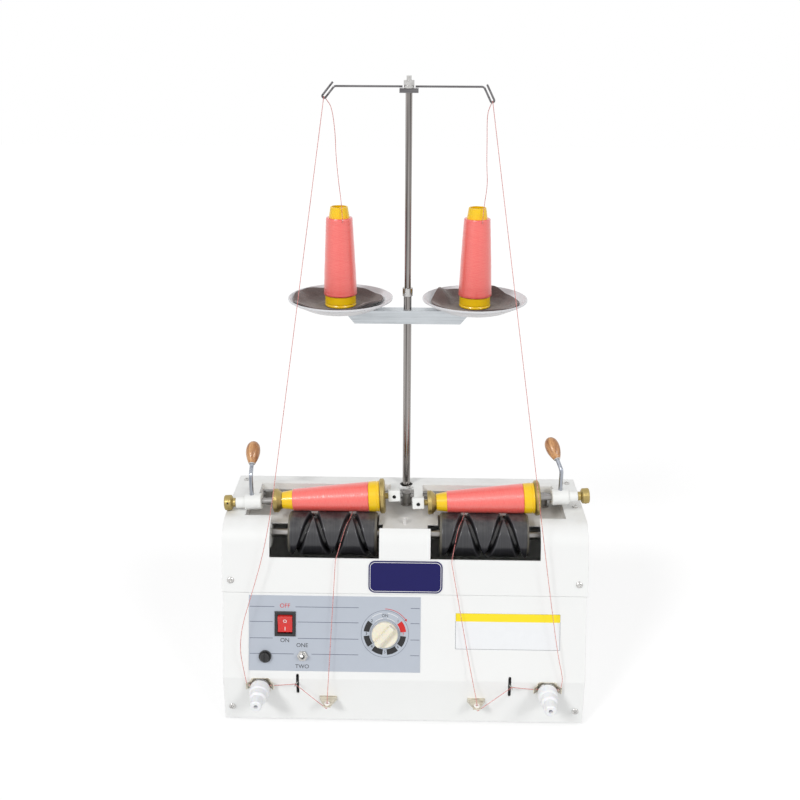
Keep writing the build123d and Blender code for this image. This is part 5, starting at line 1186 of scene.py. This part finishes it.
@dataclass
class GroovedDrum:
    """Traverse drum with two crossed grooves as a fine height field, and its alloy ends."""

    side: str
    centre: float
    radius: float = DRUM_RADIUS
    length: float = 110.0
    depth: float = 7.0
    floor_half: float = 1.7
    flare: float = 0.36
    stroke: float = 96.0
    turns: int = 2
    rim: float = 3.0
    chamfer: float = 2.2
    bore: float = 5.7
    around: int = 288
    stations: int = 230

    def groove_distance(self, angle: np.ndarray, height: np.ndarray) -> np.ndarray:
        """Distance on the skin from each point to the nearest groove's middle line.

        Args:
            angle: Angles in radians, from 0 to a full turn.
            height: Heights along the drum.

        Returns:
            Distances in millimetres.
        """
        full = 2 * math.pi
        lead = self.stroke / self.turns
        slant = math.cos(math.atan(lead / (full * self.radius * 0.87)))
        best = np.full(np.broadcast(angle, height).shape, 1e9)
        for hand in (1, -1):
            turned = np.mod(hand * angle, full)
            for lap in range(-1, self.turns + 1):
                turn = turned + lap * full
                held_turn = np.clip(turn, 0, self.turns * full)
                across = (turn - held_turn) * self.radius
                climb = held_turn / full * lead - self.stroke / 2
                best = np.minimum(best, np.hypot((height - climb) * slant, across))
        return best

    def build(self) -> None:
        """Makes the skin with its masks, and the two ends."""
        half = self.length / 2
        angle = np.linspace(0, 2 * math.pi, self.around, endpoint=False)[None, :]
        height = np.concatenate([[-half], np.linspace(-half + 0.15, half - 0.15, self.stations), [half]])[:, None]
        distance = self.groove_distance(angle, height)
        top_half = self.floor_half + self.depth * self.flare
        drop = np.clip((top_half - distance) / self.flare, 0, self.depth)
        lip = 0.35 * smooth(1 - np.abs(distance - top_half) / 0.9)
        end = np.clip((np.abs(height) - (half - self.rim)) / self.rim, 0, 1) * self.chamfer
        radii = self.radius - np.maximum(drop + lip, end)
        points = np.stack([radii * np.cos(angle), radii * np.sin(angle), np.broadcast_to(height, radii.shape)], -1)
        matrix = drum_frame(self.centre)
        faces = Workshop.grid_faces(len(height), self.around, True)
        skin = Workshop.piece("drum_skin_" + self.side, points.reshape(-1, 3), faces, DRUM_BLACK, "drums", matrix)
        # Mask along the groove edges, for painted highlight in the lacquer.
        shoulder = smooth(1 - np.abs(distance - top_half) / 1.0)
        # Mask of the groove bottoms, for painted shade in the lacquer.
        groove_shade = smooth((drop - 1.2) / 3.0)
        rim = smooth(end / self.chamfer * 3) + 0 * distance
        for name, values in (("shoulder", shoulder), ("groove", groove_shade), ("rim", rim)):
            layer = skin.data.attributes.new(name, "FLOAT", "POINT")
            layer.data.foreach_set("value", values.astype(np.float32).ravel())
        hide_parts("drum_" + self.side)
        for sign, tag in ((-1, "left"), (1, "right")):
            self.end_face(tag, sign, radii[0 if sign < 0 else -1], matrix, half)

    def end_face(self, tag: str, sign: int, edge: np.ndarray, matrix: Matrix, half: float) -> None:
        """Makes one end face with a raised hub and a shallow dish.

        Args:
            tag: Which end.
            sign: -1 or 1 for the end's side.
            edge: Radius of the skin's edge, all round.
            matrix: The drum's frame.
            half: Half the drum's length.
        """
        rings = [(1.0, 0.0), (0.93, 0.0), (0.9, 0.7), (0.45, 0.7), (0.42, 0.0), (0.3, 0.0)]
        angle = np.linspace(0, 2 * math.pi, self.around, endpoint=False)
        points = []
        for share, sunk in rings:
            ring = self.bore + (edge - self.bore) * (share - 0.3) / 0.7
            height = np.full_like(ring, sign * (half - sunk))
            points.append(np.stack([ring * np.cos(angle), ring * np.sin(angle), height], -1))
        faces = Workshop.grid_faces(len(rings), self.around, True)
        name = "drum_end_" + self.side + "_" + tag
        made = Workshop.piece(name, np.concatenate(points), faces, DRUM_END, "drums", matrix)


# ------------------------------------------------------------------ yarn packages


@dataclass
class YarnPackage:
    """Cross-wound yarn on a cone tube, with soft shoulders and a slightly uneven skin."""

    name: str
    node: str
    body: str
    matrix: Matrix
    small: float
    large: float
    seed: int
    length: float = 95.2
    inner_small: float = 12.6
    inner_large: float = 17.9
    segments: int = 96
    stations: int = 150

    def build(self) -> None:
        """Makes the package."""
        rng = np.random.default_rng(self.seed)
        heights = np.linspace(0.1, self.length, self.stations)
        share = (heights - 0.1) / (self.length - 0.1)
        radii = self.small + (self.large - self.small) * share
        ends = np.minimum(heights - 0.1, self.length - heights)
        radii = radii - 0.6 * (1 - smooth(ends / 0.9)) ** 2
        radii = radii + 0.12 * np.sin(share * math.pi) + 0.05 * np.interp(heights, np.linspace(0, self.length, 24), rng.normal(0, 1, 24))
        outline = [(0.1, self.inner_small)] + list(zip(heights, radii)) + [(self.length, self.inner_large)]
        phase = rng.uniform(0, 6, 3)

        def wobble(height: np.ndarray, turn: np.ndarray) -> np.ndarray:
            """Low ridges where the two slants of thread cross."""
            climb = height / 27.8 * 2 * math.pi
            waves = np.sin(4 * (climb - turn) + phase[0]) * np.sin(4 * (climb + turn) + phase[1])
            return 0.06 * waves + 0.03 * np.sin(12 * (climb - turn) + phase[2])

        made = Workshop.lathe(self.name, outline, RED_YARN, self.body, self.matrix, self.segments, wobble)
        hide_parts(self.node)


# ------------------------------------------------------------------ levers and small turned pieces


@dataclass
class LeverHandle:
    """Turned wooden handle on a bent lever, with a bright ferrule where the rod enters."""

    side: str
    head: int
    lever_x: float = 193.0
    rise: float = 30.0
    reach: float = 30.0
    back: float = 50.0
    bore_depth: float = 13.7
    big: float = 9.0
    long: float = 31.0

    def matrix(self) -> Matrix:
        """Frame at the handle's foot, z along the rod."""
        sign = -1 if self.head == 0 else 1
        cone = cone_frame(self.head)
        axis = cone.to_3x3() @ Vector((0, 0, 1))
        origin = cone.to_translation() / MM
        foot = origin + axis * ((sign * self.lever_x - origin.x) / axis.x) + Vector((0, 0, 6.1))
        aside, lean = math.radians((0.0, -17.0)[self.head]), math.radians(self.back)
        along = Vector((math.sin(aside), math.sin(lean), math.cos(lean))).normalized()
        end = foot + Vector((0, 0, self.rise)) + along * self.reach
        return placed(tuple(end - along * self.bore_depth), (1, 0, 0), tuple(along))

    def build(self) -> None:
        """Makes the handle and its ferrule."""
        body = "cradle_" + self.side
        knots = [(0.0, 0.3), (0.0, 0.44), (1.2, 0.52), (4.0, 0.66), (8.0, 0.83), (12.0, 0.94), (16.0, 1.0), (20.0, 0.99),
                 (24.0, 0.9), (27.0, 0.74), (29.3, 0.5), (30.5, 0.26), (31.0, 0.02)]
        heights = np.interp(np.linspace(0, 12, 60), range(13), [k[0] for k in knots])
        shape = np.interp(np.linspace(0, 12, 60), range(13), [k[1] for k in knots])
        shape = np.convolve(np.pad(shape, 2, mode="edge"), np.ones(5) / 5, mode="valid")
        outline = [(h, r * self.big) for h, r in zip(heights, shape)]
        outline[0] = (0.0, 2.7)
        outline[-1] = (self.long, 0.05)
        made = Workshop.lathe("handle_" + self.side, outline, WOOD, body, self.matrix(), 56)
        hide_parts("lever_handle_" + self.side)
        ring = [(-0.9, 2.6), (-0.9, 3.7), (-0.6, 4.1), (0.3, 4.1), (0.5, 3.6)]
        ferrule = Workshop.lathe("ferrule_" + self.side, ring, BRIGHT, body, self.matrix(), 40)


@dataclass
class ScrewSet:
    """Pan-head screws of the case, each with a cross recess."""

    head_radius: float = 4.0
    head_height: float = 2.4
    arm_half: float = 0.5
    arm_reach: float = 2.3
    recess: float = 1.2
    rings: int = 22
    around: int = 72

    def seats(self) -> list[Matrix]:
        """Frames of the screws, z outward."""
        side = 214.2
        up = (169.4 + 14.0 - BAND_TOP) / math.cos(LEAN)
        low = 24.0
        found = [panel_frame(x, up, COVER_GROW) for x in (-side, side)]
        found += [placed((x, -CASE_FRONT, low), (1, 0, 0), (0, -1, 0)) for x in (-side, side)]
        found += [placed((x, CASE_BACK, low), (1, 0, 0), (0, 1, 0)) for x in (-side, side)]
        tops = ((-side, CASE_BACK - 16), (side, CASE_BACK - 16), (side + 2, 14.4), (4.5, 64.8))
        return found + [placed((x, y, CASE_TOP), (1, 0, 0), (0, 0, 1)) for x, y in tops]

    def build(self) -> None:
        """Makes all heads as one piece."""
        angle = np.linspace(0, 2 * math.pi, self.around, endpoint=False)
        radii = np.linspace(0.02, self.head_radius, self.rings)
        dome = self.head_height * np.sqrt(np.clip(1 - (radii / (self.head_radius * 1.12)) ** 2, 0, 1))
        points, faces = [], []
        for index, seat in enumerate(self.seats()):
            turned = seat @ Matrix.Rotation(0.7 * index + 0.4, 4, "Z")
            rows = []
            for radius, height in zip(radii, dome):
                x, y = radius * np.cos(angle), radius * np.sin(angle)
                near = np.minimum(np.abs(x), np.abs(y))
                cut = np.where((near < self.arm_half) & (radius < self.arm_reach), self.recess * (1 - 0.35 * radius / self.arm_reach), 0)
                rows.append(np.stack([x, y, height - cut], -1))
            rows.append(np.stack([radii[-1] * np.cos(angle), radii[-1] * np.sin(angle), np.zeros_like(angle)], -1))
            start = sum(len(block) for block in points)
            local = np.concatenate(rows)
            world = np.array([turned @ Vector(p * MM) for p in local]) / MM
            points.append(world)
            faces += [tuple(i + start for i in face) for face in Workshop.grid_faces(len(rows), self.around, True)]
        made = Workshop.piece("case_screw_heads", np.concatenate(points), faces, BRIGHT, "machine")
        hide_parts("case_screws")


@dataclass
class SetScrews:
    """Grub screws in the brass knobs of both tails."""

    radius: float = 1.35

    def build(self) -> None:
        """Makes a bright rim in each knob, round a shallow near-black socket that paints the shade of the hex hole."""
        for side, head, height, tip in (("left", 0, -81.2, (0, -0.94, 0.34)), ("right", 1, 172.8, (0, -0.62, -0.78))):
            cone = cone_frame(head)
            axis = cone.to_3x3() @ Vector((0, 0, 1))
            out = Vector(tip)
            out = (out - axis * out.dot(axis)).normalized()
            spot = cone.to_translation() / MM + axis * height + out * 9.45
            matrix = placed(tuple(spot), tuple(axis), tuple(out))
            rim = [(0.0, self.radius + 0.5), (0.35, self.radius + 0.35), (0.4, self.radius), (0.1, self.radius * 0.92)]
            made = Workshop.lathe("grub_rim_" + side, rim, brass_on(matrix, "grub_rim_brass_" + side), "tail_" + side, matrix, 32)
            # The near-black socket is painted shade of the hex hole.
            socket = [(0.12, self.radius), (0.16, self.radius * 0.6), (0.18, 0.02)]
            dark = Workshop.lathe("grub_socket_" + side, socket, HOLE_SHADE_BLACK, "tail_" + side, matrix, 24)


@dataclass
class HingeSockets:
    """Near-black discs in the cradles' hinge blocks: painted shade of the sockets."""

    radius: float = 2.28

    def build(self) -> None:
        """Makes the discs of painted shade."""
        for side, spot in (("left", (-14.1, -8.9, 272.6)), ("right", (16.06, -11.6, 263.97))):
            seat = placed(spot, (1, 0, 0), (0, -1, 0))
            socket = Workshop.lathe("hinge_socket_" + side, [(0.0, self.radius), (0.02, 1.0), (0.03, 0.02)], HOLE_SHADE_BLACK, "cradle_" + side, seat, 32)


# ------------------------------------------------------------------ felt pads


class Curl(Enum):
    """Which edge of a pad stands up."""

    FRONT_RIGHT = "front_right"
    LEFT = "left"


@dataclass
class FeltPad:
    """Felt pad laid in a tray: it follows the tray, and one edge has curled up."""

    side: str
    centre_x: float
    curl: Curl
    shift: tuple[float, float]
    seed: int
    radius: float = 55.0
    thick: float = 2.4
    hole: float = 5.2
    bar_top: float = 491.5

    def tray(self, away: np.ndarray) -> np.ndarray:
        """Height of the tray's inner surface at a distance from its middle."""
        low = self.bar_top + 1.6
        return np.interp(away, [0, 31.6, 43.6, 58.4, 63.8, 80], [low, low, low + 2.6, low + 10.0, low + 14.0, low + 14.0])

    def lift(self, x: np.ndarray, y: np.ndarray, share: np.ndarray) -> np.ndarray:
        """How far the pad stands off the tray.

        Args:
            x: Local x of each point.
            y: Local y of each point.
            share: Distance from the middle, 0 to 1.

        Returns:
            Extra height.
        """
        rng = np.random.default_rng(self.seed)
        phases = rng.uniform(0, 6.28, 4)
        angle = np.arctan2(y, x)
        ripple = 0.9 * np.sin(3 * angle + phases[0]) + 0.7 * np.sin(5 * angle + phases[1]) + 0.35 * np.sin(9 * angle + phases[2])
        rise = smooth((share - 0.55) / 0.45) * (1.6 + ripple)
        target = math.radians(-38.0 if self.curl is Curl.FRONT_RIGHT else 158.0)
        near = np.abs(np.angle(np.exp(1j * (angle - target))))
        width = 0.75 if self.curl is Curl.FRONT_RIGHT else 0.62
        fold = smooth(1 - near / width) * smooth((share - 0.5) / 0.42)
        tall = 9.0 if self.curl is Curl.FRONT_RIGHT else 11.0
        second = math.radians(172.0 if self.curl is Curl.FRONT_RIGHT else 60.0)
        near = np.abs(np.angle(np.exp(1j * (angle - second))))
        return rise + fold * tall + smooth(1 - near / 0.4) * smooth((share - 0.7) / 0.3) * 4.0

    def build(self) -> None:
        """Makes the pad."""
        around, rings = 144, 34
        angle = np.linspace(0, 2 * math.pi, around, endpoint=False)[None, :]
        share = np.linspace(0, 1, rings)[:, None]
        rng = np.random.default_rng(self.seed + 7)
        phases = rng.uniform(0, 6.28, 3)
        edge = self.radius * (1 + 0.02 * np.sin(2 * angle + phases[0]) + 0.015 * np.sin(5 * angle + phases[1]))
        target = -38.0 if self.curl is Curl.FRONT_RIGHT else 158.0
        near = np.abs(np.angle(np.exp(1j * (angle - math.radians(target)))))
        edge = edge * (1 - 0.13 * smooth(1 - near / 0.8))
        away = self.hole + (edge - self.hole) * share
        x = away * np.cos(angle) + self.shift[0] * share**2
        y = away * np.sin(angle) + self.shift[1] * share**2
        from_middle = np.hypot(x, y)
        under = self.tray(from_middle) + 0.35 + self.lift(x, y, np.broadcast_to(share, x.shape))
        thick = self.thick * (1 - 0.25 * share**6)
        layers = [np.stack([x, y, under], -1), np.stack([x, y, under + thick], -1)]
        bulge = 0.9
        rim = np.stack([x[-1] + bulge * np.cos(angle[0]), y[-1] + bulge * np.sin(angle[0]), (under + thick / 2)[-1]], -1)
        bore = np.stack([x[0], y[0], (under + thick / 2)[0]], -1)
        order = [layers[0][i] for i in range(rings)] + [rim] + [layers[1][i] for i in range(rings - 1, -1, -1)] + [bore, layers[0][0]]
        points = np.concatenate(order)
        faces = Workshop.grid_faces(len(order), around, True)
        matrix = Matrix.Translation(Vector((self.centre_x, POLE_Y, 0)) * MM)
        made = Workshop.piece("felt_pad_" + self.side, points, faces, FELT, "machine", matrix)
        if self.side == "left":
            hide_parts("tray_pads")


# ------------------------------------------------------------------ panel, plates and lettering


@dataclass
class PanelPrint:
    """Printing on the control panel: lines, switch legends and the dial's scale."""

    left: float = -191.5
    right: float = 20.2
    top: float = 104.4
    dial: tuple[float, float] = (-23.5, 58.2)
    lift: float = PANEL_THICK + 0.02
    body: str = "machine"

    def words(self) -> None:
        """Makes the switch legends."""
        rows = (("legend_off", "OFF", -147.0, 91.6, 7.4, INK_RED), ("legend_on", "ON", -147.0, 48.4, 7.2, INK_BLACK),
                ("legend_one", "ONE", -125.5, 42.4, 7.0, INK_BLACK), ("legend_two", "TWO", -125.5, 15.8, 7.0, INK_BLACK))
        for name, said, x, up, size, finish in rows:
            Workshop.text(name, said, size, finish, self.body, panel_frame(x, up, self.lift))

    def lines(self) -> None:
        """Makes the four printed lines, broken at the controls."""
        gaps = {0: ((-160, -134), (-56, 8)), 1: ((-162, -131), (-56, 8)), 2: ((-162, -131), (-56, 8)), 3: ((-136, -114), (-56, 8))}
        for index, below in enumerate((13.9, 32.8, 53.3, 72.9)):
            up = self.top - below
            stops = [self.left + 1] + [x for gap in gaps[index] for x in gap] + [self.right - 1]
            for part in range(0, len(stops), 2):
                start, end = stops[part], stops[part + 1]
                name = "panel_line_" + str(index) + "_" + str(part // 2)
                Workshop.plate(name, end - start, 0.8, 0.1, 0.05, INK_LINE, self.body, panel_frame((start + end) / 2, up, self.lift))

    def scale(self) -> None:
        """Makes the dial's circles, segments, numbers and arrow."""
        centre = panel_frame(*self.dial, self.lift)
        for name, inner, outer in (("dial_circle_outer", 29.0, 29.5), ("dial_circle_inner", 17.6, 18.0)):
            Workshop.arc_strip(name, inner, outer, 0, 360, INK_LINE, self.body, centre)
        for index in range(8):
            middle = 22.5 + 45 * index
            finish = INK_RED if index == 0 else INK_BLACK
            name = "dial_segment_" + str(index)
            if index in (1, 2):
                Workshop.arc_strip(name, 19.3, 19.8, middle - 15, middle + 15, INK_WHITE, self.body, centre)
                Workshop.arc_strip(name + "_rim", 25.8, 26.3, middle - 15, middle + 15, INK_WHITE, self.body, centre)
            else:
                Workshop.arc_strip(name, 19.3, 26.3, middle - 16, middle + 16, finish, self.body, centre)
        marks = {0: "7", 45: "1", 90: "ON", 135: "2", 180: "3", 225: "4", 270: "5", 315: "6"}
        for angle, said in marks.items():
            spot = Vector((22.8 * math.cos(math.radians(angle)), 22.8 * math.sin(math.radians(angle)), 0.03)) * MM
            finish = INK_RED if said == "7" else INK_BLACK
            Workshop.text("dial_mark_" + str(angle), said, 5.0, finish, self.body, centre @ Matrix.Translation(spot))
        Workshop.arc_strip("dial_arrow_arc", 30.9, 31.6, 36, 90, INK_RED, self.body, centre)
        tip = centre @ Matrix.Rotation(math.radians(36), 4, "Z")
        points = np.array([(29.6, 0, 0), (32.9, 0, 0), (31.25, -3.4, 0), (29.6, 0, 0.06), (32.9, 0, 0.06), (31.25, -3.4, 0.06)], float)
        faces = [(3, 5, 4), (0, 1, 4, 3), (1, 2, 5, 4), (2, 0, 3, 5)]
        Workshop.piece("dial_arrow_tip", points, faces, INK_RED, self.body, tip, rounded=False)

    def build(self) -> None:
        """Makes all of the printing."""
        self.words()
        self.lines()
        self.scale()


@dataclass
class FrontPlates:
    """Bare name plate on the cover and bare two-colour label on the case."""

    body: str = "machine"

    def build(self) -> None:
        """Makes the plate with its outline, and the label with its strip."""
        plate = panel_frame(1.25, 129.6, COVER_GROW + 0.02)
        Workshop.plate("name_plate", 90.9, 39.6, 8.0, 0.9, NAVY, self.body, plate)
        line = panel_frame(1.25, 129.6, COVER_GROW + 0.88)
        Workshop.plate("name_plate_outline", 87.6, 36.3, 6.6, 0.08, INK_WHITE, self.body, line, hole=0.6)
        label = panel_frame(127.7, 62.8, 0.02)
        Workshop.plate("bare_label", 130.0, 46.3, 1.2, 0.18, LABEL_WHITE, self.body, label)
        strip = panel_frame(127.7, 80.1, 0.19)
        Workshop.plate("bare_label_strip", 128.4, 10.2, 0.6, 0.05, LABEL_YELLOW, self.body, strip)
        border = panel_frame(127.7, 62.8, 0.19)
        Workshop.plate("bare_label_border", 128.6, 44.9, 0.8, 0.05, INK_BLACK, self.body, border, hole=0.35)


@dataclass
class RockerMarks:
    """White O and I on the rocker paddle's two faces."""

    at: tuple[float, float] = (-146.6, 69.3)
    tilt: float = 9.0
    pivot: float = 4.0
    low: float = 5.4

    def face(self, upper: bool) -> Matrix:
        """Frame in the middle of one face of the paddle."""
        tilt = math.radians(self.tilt)
        slope = tilt if upper else -tilt
        seat = panel_frame(*self.at, PANEL_THICK) @ Matrix.Translation(Vector((0, 0, -self.pivot)) * MM)
        turned = seat @ Matrix.Rotation(tilt, 4, "X") @ Matrix.Translation(Vector((0, 0, self.low)) * MM)
        reach = 5.0 if upper else -5.0
        return turned @ Matrix.Rotation(slope, 4, "X") @ Matrix.Translation(Vector((0, reach, 0.03)) * MM)

    def build(self) -> None:
        """Makes both marks."""
        Workshop.arc_strip("rocker_mark_off", 1.5, 2.2, 0, 360, INK_WHITE, "rocker", self.face(True))
        Workshop.plate("rocker_mark_on", 0.8, 4.6, 0.3, 0.05, INK_WHITE, "rocker", self.face(False))


# ------------------------------------------------------------------ carried-over CAD nodes


@dataclass
class Dressing:
    """Finishes of the CAD nodes that stay as they are."""

    shared: dict[str, Finish] = field(default_factory=lambda: {
        "case_body": CASE_WHITE, "top_cover": CASE_WHITE, "deck_tray": DECK_WHITE_PAINTED_SHADE, "base_plate": CASE_WHITE,
        "rubber_feet": RUBBER, "power_inlet": BLACK, "drum_shaft": STEEL, "motor_pulley": STEEL, "drive_motor": POST_STEEL,
        "drive_belt": RUBBER, "shaft_bearings": CASTING, "pivot_posts": POST_STEEL, "control_panel": PANEL_BLUE,
        "switch_housings": BLACK, "rocker": ROCKER_RED, "toggle_bushing": BRIGHT, "toggle_lever": BRIGHT, "fuse_cap": BLACK,
        "speed_control": BOARD, "dial_knob": IVORY, "thread_brackets": BRACKET_ZINC, "tension_discs": DISC_STEEL,
        "guide_beads": GLAZE, "lower_tube": POLE_CHROME, "upper_tube": POLE_CHROME, "stand_fittings": BRIGHT,
        "cross_bar": BAR_ZINC, "trays": TRAY_GREY, "spool_pins": POST_STEEL, "thread_arms": ARM_WIRE,
    })

    def build(self) -> None:
        """Gives every carried-over node its finish."""
        finishes = dict(self.shared)
        for head, side in enumerate(("left", "right")):
            brass = brass_on(cone_frame(head), "turned_brass_" + side)
            finishes.update({
                "swing_frame_" + side: CASTING, "lever_rod_" + side: LEVER_STEEL, "head_flange_" + side: brass,
                "cone_tube_" + side: YELLOW, "tail_spindle_" + side: STEEL, "tail_brass_" + side: brass,
                "supply_tube_" + side: YELLOW, "tension_knob_" + side: NUT_WHITE, "takeup_wire_" + side: BRIGHT,
            })
        for name, finish in finishes.items():
            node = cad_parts[name]
            for slot in node.material_slots:
                slot.material = finish.material()
        log.info("dressed %d carried-over nodes", len(finishes))


def main() -> None:
    """Builds the scene, piece by piece."""
    logging.basicConfig(level=logging.INFO, format="%(name)s: %(message)s")
    jobs: list[tuple[str, object]] = [
        ("studio", Studio()),
        ("left thread", ThreadPath("left", 1191.1, LEFT_ROUTE, DRUM_CENTRES[0], 2)),
        ("right thread", ThreadPath("right", 1184.4, RIGHT_ROUTE, DRUM_CENTRES[1], 1)),
        ("dressing", Dressing()),
        ("left drum", GroovedDrum("left", DRUM_CENTRES[0])),
        ("right drum", GroovedDrum("right", DRUM_CENTRES[1])),
    ]
    for head, side in enumerate(("left", "right")):
        jobs.append((side + " wound yarn", YarnPackage("wound_yarn_" + side, "cone_yarn_" + side, "cone_" + side, cone_frame(head), 13.5, 18.8, 11 + head)))
        jobs.append((side + " supply yarn", YarnPackage("supply_wound_" + side, "supply_yarn_" + side, "supply_" + side, supply_frame(head), 16.0, 20.6, 21 + head)))
        jobs.append((side + " handle", LeverHandle(side, head)))
    jobs += [
        ("screws", ScrewSet()),
        ("set screws", SetScrews()),
        ("hinge sockets", HingeSockets()),
        ("left felt pad", FeltPad("left", -83.5, Curl.FRONT_RIGHT, (-3.5, 1.0), 3)),
        ("right felt pad", FeltPad("right", 83.5, Curl.LEFT, (-1.5, 0.5), 9)),
        ("panel print", PanelPrint()),
        ("front plates", FrontPlates()),
        ("rocker marks", RockerMarks()),
    ]
    for name, job in jobs:
        job.build()
        log.info("built %s", name)


if __name__ == "__main__":
    main()
